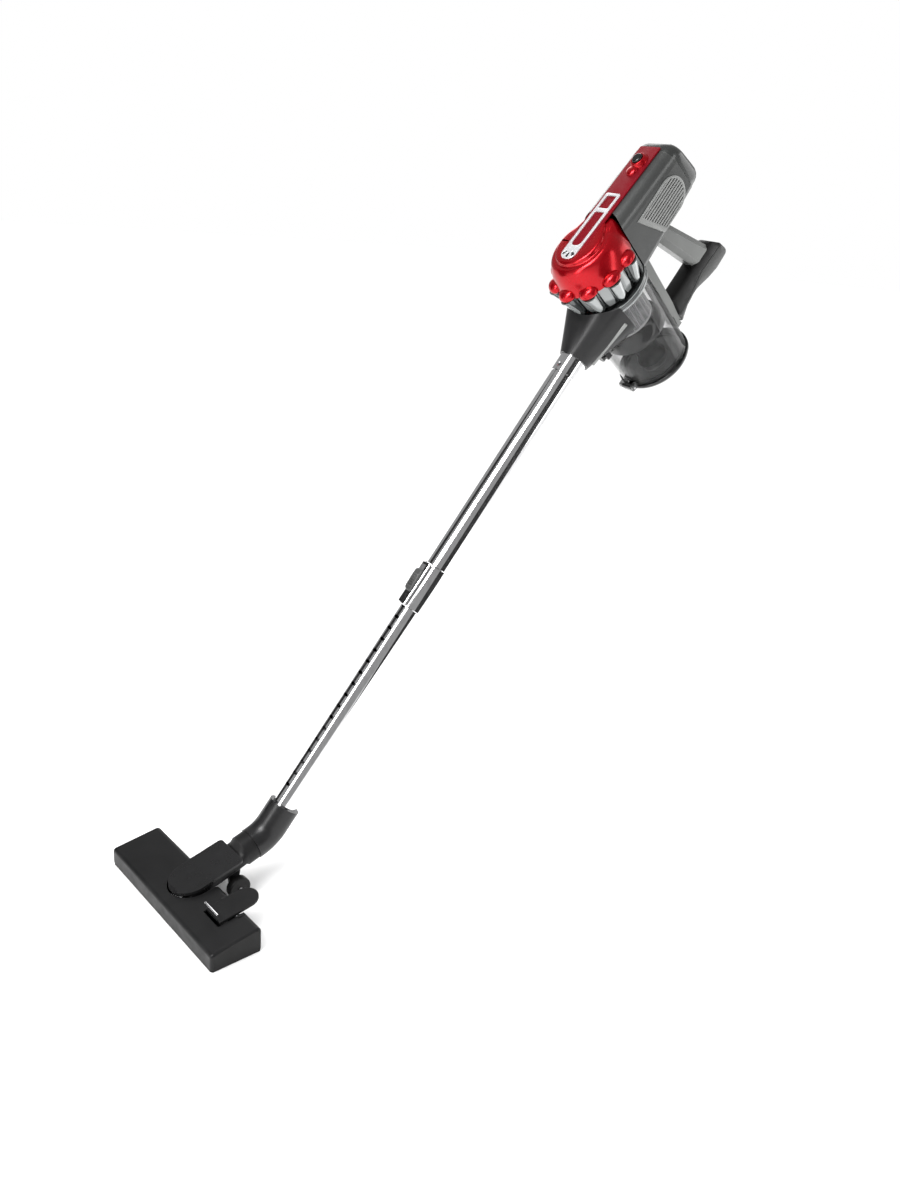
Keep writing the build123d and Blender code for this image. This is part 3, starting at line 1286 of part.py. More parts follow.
with BuildPart() as handle_grip:
    with BuildSketch(profile):
        Polygon(
            (GRIP_FRONT, 903.6),
            (GRIP_FRONT, 1001),
            (102, 1014),
            (101.5, 1007),
            (99, 965),
            (107, 926),
            (110, 898),
            (110, 897.4),
            align=None,
        )
    extrude(amount=GRIP_HALF, both=True)
    fillet(handle_grip.faces().sort_by(Axis(profile.origin, profile.x_dir))[0].edges().filter_by(
        lambda edge: abs(edge.tangent_at(0.5).dot(wand.z_dir)) > 0.9), 6)
    with BuildSketch(profile):
        core_outline()
    extrude(amount=CORE_HALF, both=True, mode=Mode.SUBTRACT)
    with BuildSketch(crown_side):
        spine_outline(0.05)
    extrude(amount=GRIP_HALF + 1, both=True, mode=Mode.SUBTRACT)
    with BuildSketch(profile):
        foot_outline(0.05)
    extrude(amount=GRIP_HALF + 1, both=True, mode=Mode.SUBTRACT)
handle_grip.part.label = "handle_grip"
export_step(handle_grip.part, "parts/handle_grip.step")

with BuildPart() as grip_back:
    with BuildSketch(profile) as back_section:
        Polygon(
            (102.2, 1014),
            (120, 1016),
            (121.5, 987),
            (118, 968),
            (110.5, 943),
            (112, 922),
            (122, 897.4),
            (110.2, 897.4),
            (110.2, 898),
            (107.2, 926),
            (99.2, 965),
            (101.7, 1007),
            align=None,
        )
        fillet(back_section.vertices().sort_by(Axis.Y)[-1:], 8)
    extrude(amount=GRIP_HALF, both=True)
    with BuildSketch(crown_side):
        spine_outline(0.05)
    extrude(amount=GRIP_HALF + 1, both=True, mode=Mode.SUBTRACT)
    with BuildSketch(profile):
        foot_outline(0.05)
    extrude(amount=GRIP_HALF + 1, both=True, mode=Mode.SUBTRACT)
grip_back.part.label = "grip_back"
export_step(grip_back.part, "parts/grip_back.step")
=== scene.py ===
import json
import math

import bmesh
import bpy
from mathutils import Matrix, Vector


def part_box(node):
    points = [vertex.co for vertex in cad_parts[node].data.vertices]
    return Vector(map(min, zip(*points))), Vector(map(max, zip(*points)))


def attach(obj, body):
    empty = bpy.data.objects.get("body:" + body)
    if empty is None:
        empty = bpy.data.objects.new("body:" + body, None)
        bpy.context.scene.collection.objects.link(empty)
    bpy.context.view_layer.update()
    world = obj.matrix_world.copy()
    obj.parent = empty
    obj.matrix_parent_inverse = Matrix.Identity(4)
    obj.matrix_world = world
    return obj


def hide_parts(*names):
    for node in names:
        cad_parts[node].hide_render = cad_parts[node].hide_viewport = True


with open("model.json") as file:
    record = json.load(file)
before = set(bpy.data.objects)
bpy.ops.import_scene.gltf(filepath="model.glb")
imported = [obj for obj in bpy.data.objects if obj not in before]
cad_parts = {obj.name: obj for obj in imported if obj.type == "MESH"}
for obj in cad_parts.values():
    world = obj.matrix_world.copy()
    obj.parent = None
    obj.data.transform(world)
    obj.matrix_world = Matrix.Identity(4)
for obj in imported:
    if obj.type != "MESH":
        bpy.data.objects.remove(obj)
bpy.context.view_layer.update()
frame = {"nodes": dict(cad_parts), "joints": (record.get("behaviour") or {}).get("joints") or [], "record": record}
nodes = frame["nodes"]
joints = {joint["name"]: joint for joint in frame["joints"]}

# ---------------------------------------------------------------- directions of the object
# The wand runs up W; S is its right side and B its underside. The crown axis C runs from
# the red cover to the cup lid, and U is the crown's own up. Lengths below are millimetres.
MM = 0.001
W = -Vector(joints["wand_pull"]["axis"])
S = -Vector(joints["lid_swing"]["axis"])
B = W.cross(S)
C = Vector(joints["button_press"]["axis"])
U = C.cross(-S)
ELBOW = Vector(joints["elbow_swivel"]["pos_m"])
CROWN = ELBOW + (-65 * B + 853 * W) * MM
RIGHT = Vector((1, 0, 0))
BACK = Vector((0, 1, 0))
UP = Vector((0, 0, 1))


def frame_matrix(origin, x, y, z):
    """Matrix from a piece's own millimetres to the row frame."""
    matrix = Matrix.Identity(4)
    for column, axis in enumerate((x, y, z)):
        for row in range(3):
            matrix[row][column] = axis[row] * MM
    matrix.translation = origin
    return matrix


WAND = frame_matrix(ELBOW, S, B, W)
CROWN_FRAME = frame_matrix(CROWN, -S, U, C)
HEAD = frame_matrix(Vector((0, 0, 0)), RIGHT, BACK, UP)
# side view: x to the underside, y up the wand, z to the right
PROFILE = frame_matrix(ELBOW, B, W, S)

# the cones stand on this circle at the cover's rim and lean in towards the cup
CONE_COUNT = 7
CONE_STEP = 36
CONE_RING, CONE_LEAN = 54.6, 8.2
CONE_RADIUS, CONE_TAPER = 9.6, 3.4


# ---------------------------------------------------------------- materials
def value(node, socket, number):
    """Sets a node's socket to a constant."""
    node.inputs[socket].default_value = number


def start_material(name):
    """New material with its node tree and its principled shader."""
    material = bpy.data.materials.new(name)
    material.use_nodes = True
    tree = material.node_tree
    shader = tree.nodes["Principled BSDF"]
    return material, tree, shader


def add_noise(tree, scale, detail=3.0, stretch=None):
    """Noise in object space, optionally stretched along one axis; returns its factor."""
    where = tree.nodes.new("ShaderNodeTexCoord")
    source = where.outputs["Object"]
    if stretch:
        mapping = tree.nodes.new("ShaderNodeMapping")
        mapping.inputs["Scale"].default_value = stretch
        tree.links.new(source, mapping.inputs["Vector"])
        source = mapping.outputs["Vector"]
    noise = tree.nodes.new("ShaderNodeTexNoise")
    value(noise, "Scale", scale)
    value(noise, "Detail", detail)
    tree.links.new(source, noise.inputs["Vector"])
    return noise.outputs["Fac"]


def ranged(tree, factor, low, high, start=0.3, end=0.7):
    """Maps a factor to a range of numbers."""
    node = tree.nodes.new("ShaderNodeMapRange")
    value(node, "From Min", start)
    value(node, "From Max", end)
    value(node, "To Min", low)
    value(node, "To Max", high)
    tree.links.new(factor, node.inputs["Value"])
    return node.outputs["Result"]


def mixed(tree, factor, first, second):
    """Colour mixed by a factor; either colour may be a socket."""
    node = tree.nodes.new("ShaderNodeMix")
    node.data_type = "RGBA"
    tree.links.new(factor, node.inputs["Factor"])
    for socket, colour in ((node.inputs[6], first), (node.inputs[7], second)):
        if isinstance(colour, bpy.types.NodeSocket):
            tree.links.new(colour, socket)
        else:
            socket.default_value = (*colour, 1)
    return node.outputs[2]


def edge_mask(tree, radius):
    """One on convex edges, where the finish is rubbed, and nought elsewhere."""
    bevel = tree.nodes.new("ShaderNodeBevel")
    bevel.samples = 4
    value(bevel, "Radius", radius)
    geometry = tree.nodes.new("ShaderNodeNewGeometry")
    dot = tree.nodes.new("ShaderNodeVectorMath")
    dot.operation = "DOT_PRODUCT"
    tree.links.new(bevel.outputs["Normal"], dot.inputs[0])
    tree.links.new(geometry.outputs["Normal"], dot.inputs[1])
    return ranged(tree, dot.outputs["Value"], 1.0, 0.0, 0.86, 0.995)


def add_bump(tree, shader, height, strength, distance):
    """Fine relief from a height socket."""
    bump = tree.nodes.new("ShaderNodeBump")
    value(bump, "Strength", strength)
    value(bump, "Distance", distance)
    tree.links.new(height, bump.inputs["Height"])
    tree.links.new(bump.outputs["Normal"], shader.inputs["Normal"])


def moulded(name, colour, roughness, grain=900, grain_depth=0.00006, coat=0.0, metallic=0.0,
            rubbed=None, variation=0.18, grain_strength=0.3, specular=0.5):
    """Moulded plastic: fine grain, uneven gloss, slow colour change and rubbed edges."""
    material, tree, shader = start_material(name)
    slow = add_noise(tree, 9, 2)
    smudge = add_noise(tree, 60, 5)
    fine = add_noise(tree, grain, 2)
    darker = tuple(part * (1 - variation) for part in colour)
    lighter = tuple(min(1, part * (1 + variation)) for part in colour)
    base = mixed(tree, ranged(tree, slow, 0, 1), darker, lighter)
    if rubbed:
        wear = tree.nodes.new("ShaderNodeMath")
        wear.operation = "MULTIPLY"
        tree.links.new(edge_mask(tree, 0.0009), wear.inputs[0])
        tree.links.new(ranged(tree, smudge, 0.1, 0.8, 0.35, 0.65), wear.inputs[1])
        base = mixed(tree, wear.outputs[0], base, rubbed)
    tree.links.new(base, shader.inputs["Base Color"])
    tree.links.new(ranged(tree, smudge, roughness * 0.82, roughness * 1.2), shader.inputs["Roughness"])
    value(shader, "Metallic", metallic)
    value(shader, "Specular IOR Level", specular)
    value(shader, "Coat Weight", coat)
    value(shader, "Coat Roughness", 0.05)
    add_bump(tree, shader, fine, grain_strength, grain_depth)
    return material


def metal(name, colour, roughness, stretch, marks=0.25):
    """Metal with fine lengthwise marks and faint smudges."""
    material, tree, shader = start_material(name)
    marks_factor = add_noise(tree, 240, 4, stretch)
    smudge = add_noise(tree, 35, 4)
    dull = tuple(part * 0.86 for part in colour)
    base = mixed(tree, ranged(tree, marks_factor, 0, 1), dull, colour)
    tree.links.new(base, shader.inputs["Base Color"])
    tree.links.new(ranged(tree, smudge, roughness * 0.7, roughness * (1 + marks)), shader.inputs["Roughness"])
    value(shader, "Metallic", 1.0)
    add_bump(tree, shader, marks_factor, 0.08, 0.00003)
    return material


def clear(name, colour, facing, roughness=0.04):
    """Clear tinted plastic: see-through from straight on, glossy at a slant, with faint haze."""
    material, tree, shader = start_material(name)
    haze = add_noise(tree, 45, 5)
    dusty = tuple(min(1, part * 1.25) for part in colour)
    tree.links.new(mixed(tree, ranged(tree, haze, 0, 1), colour, dusty), shader.inputs["Base Color"])
    tree.links.new(ranged(tree, haze, roughness, roughness * 2.5, 0.4, 0.75), shader.inputs["Roughness"])
    layer = tree.nodes.new("ShaderNodeLayerWeight")
    value(layer, "Blend", 0.5)
    tree.links.new(ranged(tree, layer.outputs["Facing"], facing, 0.9, 0.45, 1.0), shader.inputs["Alpha"])
    value(shader, "Coat Weight", 1.0)
    value(shader, "Coat Roughness", 0.03)
    add_bump(tree, shader, add_noise(tree, 25, 2), 0.05, 0.0002)
    return material


def woven(name, thread, gap, pitch):
    """Fine filter mesh: crossed threads with dark gaps between them."""
    material, tree, shader = start_material(name)
    where = tree.nodes.new("ShaderNodeTexCoord")
    waves = []
    for direction in ("X", "Z"):
        wave = tree.nodes.new("ShaderNodeTexWave")
        wave.bands_direction = direction
        value(wave, "Scale", 1 / pitch / 3.14)
        value(wave, "Distortion", 0.4)
        tree.links.new(where.outputs["Object"], wave.inputs["Vector"])
        waves.append(wave.outputs["Fac"])
    both = tree.nodes.new("ShaderNodeMath")
    both.operation = "MULTIPLY"
    tree.links.new(waves[0], both.inputs[0])
    tree.links.new(waves[1], both.inputs[1])
    tree.links.new(mixed(tree, ranged(tree, both.outputs[0], 0, 1, 0.15, 0.5), gap, thread),
                   shader.inputs["Base Color"])
    value(shader, "Metallic", 0.3)
    tree.links.new(ranged(tree, add_noise(tree, 80), 0.3, 0.5), shader.inputs["Roughness"])
    add_bump(tree, shader, both.outputs[0], 0.4, 0.0002)
    return material


red = moulded("candy_red", (0.4, 0.0005, 0.006), 0.22, 400, 0.00001, coat=0.15, metallic=0.7,
              variation=0.12, grain_strength=0.02)
red_satin = moulded("satin_red", (0.2, 0.001, 0.008), 0.5, 900, 0.000008, metallic=0.5,
                    variation=0.1, specular=0.2, grain_strength=0.04)
silver = moulded("silver_paint", (0.72, 0.72, 0.74), 0.26, 1400, 0.00001, coat=0.6, metallic=0.55,
                 variation=0.06, grain_strength=0.03)
smoke = moulded("smoke_gloss", (0.045, 0.05, 0.05), 0.12, 500, 0.00001, coat=0.8, metallic=0.2,
                rubbed=(0.2, 0.21, 0.21), variation=0.25, grain_strength=0.04)
gunmetal = moulded("gunmetal", (0.06, 0.062, 0.061), 0.34, 1100, 0.00003, coat=0.3, metallic=0.45,
                   rubbed=(0.2, 0.2, 0.195), grain_strength=0.12)
gunmetal_dark = moulded("gunmetal_dark", (0.038, 0.04, 0.039), 0.3, 1100, 0.00003, coat=0.5, metallic=0.45,
                        grain_strength=0.1)
vent_grey = moulded("vent_grey", (0.24, 0.245, 0.24), 0.36, 1100, 0.00003, coat=0.2, metallic=0.35,
                    rubbed=(0.4, 0.4, 0.39), grain_strength=0.12)
grip_grey = moulded("grip_grey", (0.05, 0.051, 0.05), 0.45, 1300, 0.00003, coat=0.1, metallic=0.1,
                    rubbed=(0.15, 0.15, 0.15), grain_strength=0.2)
pale_grey = moulded("pale_grey", (0.16, 0.165, 0.16), 0.34, 1100, 0.00003, coat=0.15, metallic=0.35,
                    rubbed=(0.3, 0.3, 0.29), grain_strength=0.12)
dark_grey = moulded("connector_grey", (0.012, 0.012, 0.0125), 0.34, 1000, 0.00003, coat=0.08,
                    rubbed=(0.07, 0.07, 0.07), grain_strength=0.15, specular=0.3)
charcoal = moulded("head_charcoal", (0.007, 0.007, 0.0073), 0.42, 1300, 0.00004, coat=0.0,
                   rubbed=(0.03, 0.03, 0.03), grain_strength=0.2, specular=0.22)
tongue_satin = moulded("tongue_satin", (0.009, 0.009, 0.0094), 0.3, 1300, 0.00002, coat=0.0,
                       rubbed=(0.04, 0.04, 0.04), grain_strength=0.1, specular=0.35)
black = moulded("inner_black", (0.004, 0.004, 0.004), 0.4, 1000, 0.00003, coat=0.0, specular=0.2,
                rubbed=(0.03, 0.03, 0.03))
rubber = moulded("soft_rubber", (0.005, 0.005, 0.005), 0.5, 1600, 0.0001, rubbed=(0.012, 0.012, 0.012),
                grain_strength=0.2, specular=0.2)
gloss_black = moulded("gloss_black", (0.004, 0.004, 0.004), 0.12, 300, 0.00001, coat=0.3,
                      rubbed=(0.03, 0.03, 0.03), grain_strength=0.02, specular=0.4)
bristle = moulded("bristle", (0.02, 0.02, 0.02), 0.75, 5000, 0.0006, variation=0.5)
filter_cloth = moulded("filter_cloth", (0.62, 0.61, 0.57), 0.9, 3000, 0.0003, variation=0.15)
chrome = metal("chrome", (0.86, 0.86, 0.87), 0.07, (1, 1, 0.05))
# bright steel for the bar in front of the pedal, which is a painted highlight standing in for the light on the
# pedal's front face
steel_bright = metal("bright_steel", (0.7, 0.7, 0.71), 0.18, (0.1, 1, 1), 0.4)
steel = metal("plain_steel", (0.55, 0.55, 0.56), 0.3, (0.1, 1, 1), 0.5)
clear_smoke = clear("clear_smoke", (0.016, 0.017, 0.017), 0.14)
pane_smoke = clear("pane_smoke", (0.03, 0.031, 0.031), 0.86)
clear_part = clear("clear_part", (0.06, 0.062, 0.062), 0.6)
# painted highlight: a lighter copy of the smoky cone plastic, standing in for the reflections on the glossy cones'
# fronts and on the collar's edges
cone_highlight = moulded("cone_highlight", (0.27, 0.285, 0.285), 0.16, 500, 0.00001, coat=0.8, metallic=0.2,
                    rubbed=(0.5, 0.52, 0.52), variation=0.2)
cage_grey = moulded("cage_grey", (0.42, 0.42, 0.425), 0.4, 900, 0.00003, rubbed=(0.35, 0.35, 0.35))
mesh_cloth = woven("filter_mesh", (0.36, 0.36, 0.37), (0.10, 0.10, 0.105), 0.0009)

BY_SLOT = {
    "red_gloss": red,
    "silver_trim": silver,
    "cone_smoke": smoke,
    "clear_smoke": clear_smoke,
    "mesh_grey": mesh_cloth,
    "inner_black": black,
    "gunmetal": gunmetal,
    "light_grey": pale_grey,
    "connector_grey": dark_grey,
    "chrome_tube": chrome,
    "steel": steel,
    "head_black": charcoal,
    "soft_black": rubber,
    "bristle": bristle,
    "filter_pleat": filter_cloth,
    "button_black": gloss_black,
}
slot_of = {part["node"]: part["material_slot"] for part in frame["record"]["subparts"]}
for name, node in nodes.items():
    node.data.materials.clear()
    node.data.materials.append(BY_SLOT[slot_of[name]])
nodes["telescope_collar"].data.materials[0] = chrome

# ---------------------------------------------------------------- stage
SCENE = bpy.context.scene
SCENE.view_settings.view_transform = "Standard"


def add_stage():
    """Pale floor and a soft white room."""
    bpy.ops.mesh.primitive_plane_add(size=60, location=(0, 0.4, -0.0003))
    floor = bpy.context.object
    floor.name = "floor"
    material, tree, shader = start_material("pale_floor")
    tone = mixed(tree, add_noise(tree, 2, 3), (0.90, 0.90, 0.90), (0.93, 0.93, 0.93))
    tree.links.new(tone, shader.inputs["Base Color"])
    value(shader, "Roughness", 0.7)
    floor.data.materials.append(material)
    world = bpy.data.worlds.new("studio")
    world.use_nodes = True
    tree = world.node_tree
    soft = tree.nodes["Background"]
    soft.inputs["Color"].default_value = (1, 1, 1, 1)
    soft.inputs["Strength"].default_value = 0.34
    # the paper behind is white, and the room's own light is softer
    paper = tree.nodes.new("ShaderNodeBackground")
    paper.inputs["Color"].default_value = (1, 1, 1, 1)
    paper.inputs["Strength"].default_value = 1.0
    path = tree.nodes.new("ShaderNodeLightPath")
    mix = tree.nodes.new("ShaderNodeMixShader")
    tree.links.new(path.outputs["Is Camera Ray"], mix.inputs["Fac"])
    tree.links.new(soft.outputs["Background"], mix.inputs[1])
    tree.links.new(paper.outputs["Background"], mix.inputs[2])
    tree.links.new(mix.outputs["Shader"], tree.nodes["World Output"].inputs["Surface"])
    SCENE.world = world


def add_area(name, location, target, size, energy):
    """Softbox that faces a target."""
    light = bpy.data.lights.new(name, "AREA")
    light.shape = "RECTANGLE"
    light.size, light.size_y = size
    light.energy = energy
    lamp = bpy.data.objects.new(name, light)
    lamp.location = location
    lamp.rotation_euler = (Vector(target) - Vector(location)).to_track_quat("-Z", "Y").to_euler()
    SCENE.collection.objects.link(lamp)


def add_sun():
    """Broad soft light from above, which also keeps the floor pale."""
    light = bpy.data.lights.new("sky", "SUN")
    light.energy = 3.0
    light.angle = 1.3
    lamp = bpy.data.objects.new("sky", light)
    lamp.rotation_euler = (math.radians(12), math.radians(-14), 0)
    lamp.visible_glossy = False
    SCENE.collection.objects.link(lamp)


def add_glint(name, turn, width, energy, length=2.6, distance=1.7):
    """Long softbox that adds no light of its own to the floor or the plastics' colour; the chrome
    tubes mirror it as a bright stripe."""
    axis = (WAND.to_3x3() @ Vector((0, 0, 1))).normalized()
    middle = WAND @ Vector((0, 0, 400))
    view = (SCENE.camera.location - middle).normalized()
    facing = (view - axis * view.dot(axis)).normalized()
    normal = Matrix.Rotation(math.radians(turn), 3, axis) @ facing
    away = (2 * normal.dot(view) * normal - view).normalized()
    light = bpy.data.lights.new(name, "AREA")
    light.shape = "RECTANGLE"
    light.size, light.size_y = width, length
    light.energy = energy
    lamp = bpy.data.objects.new(name, light)
    along = (axis - away * axis.dot(away)).normalized()
    across = along.cross(away)
    turned = Matrix((across, along, away)).transposed().to_4x4()
    lamp.matrix_world = Matrix.Translation(middle + away * distance) @ turned
    lamp.visible_diffuse = False
    lamp.visible_camera = False
    SCENE.collection.objects.link(lamp)


def add_flag(name, location, target, size, tone):
    """Dark card that only shows in reflections, to give gloss and chrome their dark bands."""
    mesh = bpy.data.meshes.new(name)
    half_x, half_y = size[0] / 2, size[1] / 2
    corners = [(-half_x, -half_y, 0), (half_x, -half_y, 0), (half_x, half_y, 0), (-half_x, half_y, 0)]
    mesh.from_pydata(corners, [], [(0, 1, 2, 3)])
    card = bpy.data.objects.new(name, mesh)
    card.location = location
    card.rotation_euler = (Vector(target) - Vector(location)).to_track_quat("-Z", "Y").to_euler()
    SCENE.collection.objects.link(card)
    material, tree, shader = start_material(name + "_cloth")
    cloth = mixed(tree, add_noise(tree, 20), (tone, tone, tone), (tone * 1.5, tone * 1.5, tone * 1.5))
    tree.links.new(cloth, shader.inputs["Base Color"])
    value(shader, "Roughness", 1.0)
    mesh.materials.append(material)
    card.visible_camera = False
    card.visible_diffuse = False
    card.visible_shadow = False
    card.visible_transmission = False


def add_camera():
    """Camera above and in front of the floor head, looking along the wand to the hand unit."""
    camera = bpy.data.cameras.new("camera")
    camera.lens = 30
    camera.sensor_width = 36
    camera.clip_start = 0.02
    eye = bpy.data.objects.new("camera", camera)
    right = Vector((0.66187, 0.74574, 0.07610))
    up = Vector((-0.30914, 0.17906, 0.93401))
    away = right.cross(up)
    matrix = Matrix((right, up, away)).transposed().to_4x4()
    matrix.translation = (0.9716, -0.4935, 0.8299)
    eye.matrix_world = matrix
    SCENE.collection.objects.link(eye)
    SCENE.camera = eye


add_stage()
add_area("key", (0.2, -1.6, 2.1), (0.05, 0.4, 0.6), (1.2, 0.9), 46)
add_area("fill", (2.2, 0.6, 1.3), (0.05, 0.4, 0.5), (1.0, 1.6), 15)
add_area("rim", (-1.4, 1.6, 1.9), (0.05, 0.5, 0.6), (1.5, 1.5), 16)
add_area("side", (0.9, 2.3, 1.0), (0.05, 0.4, 0.5), (1.3, 2.0), 14)
add_sun()
add_flag("flag_right", (1.5, 0.2, 0.6), (0.05, 0.3, 0.5), (0.85, 2.6), 0.01)
add_flag("flag_left", (-1.2, -0.5, 0.7), (0.05, 0.3, 0.4), (0.8, 2.2), 0.01)
add_camera()
add_glint("glint", -22, 0.45, 26)


# ---------------------------------------------------------------- shape tools, in millimetres
def finish_piece(mesh, name, matrix, material, body, smooth=35):
    """Places a mesh made in a piece's own millimetres, and says what it rides on."""
    mesh.transform(matrix)
    mesh.update()
    for polygon in mesh.polygons:
        polygon.use_smooth = True
    mesh.set_sharp_from_angle(angle=math.radians(smooth))
    mesh.materials.append(material)
    piece = bpy.data.objects.new(name, mesh)
    SCENE.collection.objects.link(piece)
    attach(piece, body)
    return piece


def mesh_from(bm, name):
    """Mesh with joined vertices and faces that point outwards; the bmesh is freed."""
    bmesh.ops.remove_doubles(bm, verts=bm.verts, dist=0.0005)
    bmesh.ops.recalc_face_normals(bm, faces=bm.faces)
    mesh = bpy.data.meshes.new(name)
    bm.to_mesh(mesh)
    bm.free()
    return mesh


def rounded(points, radii, steps=5):
    """Closed outline with its corners rounded; radii is one number or one for each corner."""
    if not isinstance(radii, (list, tuple)):
        radii = [radii] * len(points)
    result = []
    count = len(points)
    for index, corner in enumerate(points):
        here = Vector(corner)
        before = Vector(points[index - 1]) - here
        after = Vector(points[(index + 1) % count]) - here
        angle = before.angle(after)
        if radii[index] <= 0 or angle > math.radians(176):
            result.append(tuple(here))
            continue
        run = min(radii[index] / math.tan(angle / 2), before.length * 0.48, after.length * 0.48)
        start = here + before.normalized() * run
        end = here + after.normalized() * run
        for step in range(steps + 1):
            t = step / steps
            point = start * (1 - t) ** 2 + here * 2 * t * (1 - t) + end * t ** 2
            result.append(tuple(point))
    return result


def lathe(bm, points, segments=96, closed=True, centre=(0, 0)):
    """Turns (radius, height) points about the z axis at the centre."""
    rings = []
    for radius, height in points:
        if radius < 0.001:
            rings.append([bm.verts.new((centre[0], centre[1], height))])
            continue
        ring = []
        for step in range(segments):
            angle = math.radians(360) * step / segments
            ring.append(bm.verts.new((centre[0] + radius * math.cos(angle),
                                      centre[1] + radius * math.sin(angle), height)))
        rings.append(ring)
    pairs = list(zip(rings, rings[1:]))
    if closed and len(rings[0]) > 1 and len(rings[-1]) > 1:
        pairs.append((rings[-1], rings[0]))
    for first, second in pairs:
        if len(first) == 1 and len(second) == 1:
            continue
        for step in range(segments):
            after = (step + 1) % segments
            if len(first) == 1:
                bm.faces.new((first[0], second[step], second[after]))
            elif len(second) == 1:
                bm.faces.new((first[step], first[after], second[0]))
            else:
                bm.faces.new((first[step], first[after], second[after], second[step]))


def loft(bm, sections, caps=True):
    """Skins a list of closed sections that have the same number of 3-D points."""
    rings = [[bm.verts.new(point) for point in section] for section in sections]
    count = len(rings[0])
    for first, second in zip(rings, rings[1:]):
        for index in range(count):
            after = (index + 1) % count
            bm.faces.new((first[index], first[after], second[after], second[index]))
    if caps:
        bm.faces.new(rings[0][::-1])
        bm.faces.new(rings[-1])


def prism(bm, outline, low, high, bevel=0.0, steps=3):
    """Extrudes a 2-D outline along z, with rounded rims."""
    sections = [(0, low), (0, high)]
    if bevel > 0:
        sections = []
        for step in range(steps + 1):
            angle = math.pi / 2 * step / steps
            sections.append((bevel * (1 - math.sin(angle)), low + bevel * (1 - math.cos(angle))))
        for step in range(steps + 1):
            angle = math.pi / 2 * (1 - step / steps)
            sections.append((bevel * (1 - math.sin(angle)), high - bevel * (1 - math.cos(angle))))
    loft(bm, [[(x, y, height) for x, y in inset_outline(outline, inset)] for inset, height in sections])


def inset_outline(outline, inset):
    """Moves an outline inwards by a small distance, point by point."""
    if inset == 0:
        return list(outline)
    area = sum(a[0] * b[1] - b[0] * a[1] for a, b in zip(outline, outline[1:] + outline[:1]))
    side = 1 if area > 0 else -1
    moved = []
    for index, here in enumerate(outline):
        before = Vector(outline[index - 1])
        after = Vector(outline[(index + 1) % len(outline)])
        along = (after - before).normalized()
        moved.append((here[0] - side * along.y * inset, here[1] + side * along.x * inset))
    return moved


def round_box(width, height, radius, centre=(0, 0), steps=6):
    """Outline of a rectangle with round corners."""
    x, y = width / 2, height / 2
    corners = [(centre[0] - x, centre[1] - y), (centre[0] + x, centre[1] - y),
               (centre[0] + x, centre[1] + y), (centre[0] - x, centre[1] + y)]
    return rounded(corners, radius * 1.2, steps)


def smooth_line(points, steps=4):
    """Curve through a list of points (Catmull-Rom)."""
    result = []
    for index in range(len(points) - 1):
        near = [Vector(points[max(0, min(len(points) - 1, index + shift))]) for shift in (-1, 0, 1, 2)]
        for step in range(steps):
            t = step / steps
            result.append(tuple(0.5 * (2 * near[1] + (near[2] - near[0]) * t
                                       + (2 * near[0] - 5 * near[1] + 4 * near[2] - near[3]) * t * t
                                       + (3 * near[1] - near[0] - 3 * near[2] + near[3]) * t ** 3)))
    result.append(tuple(points[-1]))
    return result


def shell(bm, outer, inner):
    """Closed sheet between two grids of points of the same size."""
    rows, columns = len(outer), len(outer[0])
    faces = [[[bm.verts.new(point) for point in row] for row in grid] for grid in (outer, inner)]
    for grid in faces:
        for row in range(rows - 1):
            for column in range(columns - 1):
                bm.faces.new((grid[row][column], grid[row][column + 1],
                              grid[row + 1][column + 1], grid[row + 1][column]))
    top, under = faces
    for row in range(rows - 1):
        for column in (0, columns - 1):
            bm.faces.new((top[row][column], top[row + 1][column], under[row + 1][column], under[row][column]))
    for column in range(columns - 1):
        for row in (0, rows - 1):
            bm.faces.new((top[row][column], top[row][column + 1], under[row][column + 1], under[row][column]))


def plate(name, outlines, low, high, bevel):
    """Flat plate with holes and rounded rims: the first outline is its edge, the rest are holes."""
    curve = bpy.data.curves.new(name, "CURVE")
    curve.dimensions = "2D"
    curve.fill_mode = "BOTH"
    curve.extrude = (high - low) / 2 - bevel
    curve.bevel_depth = bevel
    curve.bevel_resolution = 2
    curve.offset = -bevel
    for outline in outlines:
        spline = curve.splines.new("POLY")
        spline.points.add(len(outline) - 1)
        for point, (x, y) in zip(spline.points, outline):
            point.co = (x, y, 0, 1)
        spline.use_cyclic_u = True
    holder = bpy.data.objects.new(name + "_curve", curve)
    SCENE.collection.objects.link(holder)
    mesh = bpy.data.meshes.new_from_object(holder.evaluated_get(bpy.context.evaluated_depsgraph_get()))
    bpy.data.objects.remove(holder)
    bpy.data.curves.remove(curve)
    mesh.materials.clear()
    mesh.transform(Matrix.Translation((0, 0, (low + high) / 2)))
    bm = bmesh.new()
    bm.from_mesh(mesh)
    bpy.data.meshes.remove(mesh)
    return mesh_from(bm, name)


# ---------------------------------------------------------------- red cover
LOBE_ANGLES = [-90 + CONE_STEP * (step - CONE_COUNT // 2) for step in range(CONE_COUNT)]


def direction(degrees):
    """Unit vector at an angle from x."""
    return Vector((math.cos(math.radians(degrees)), math.sin(math.radians(degrees))))


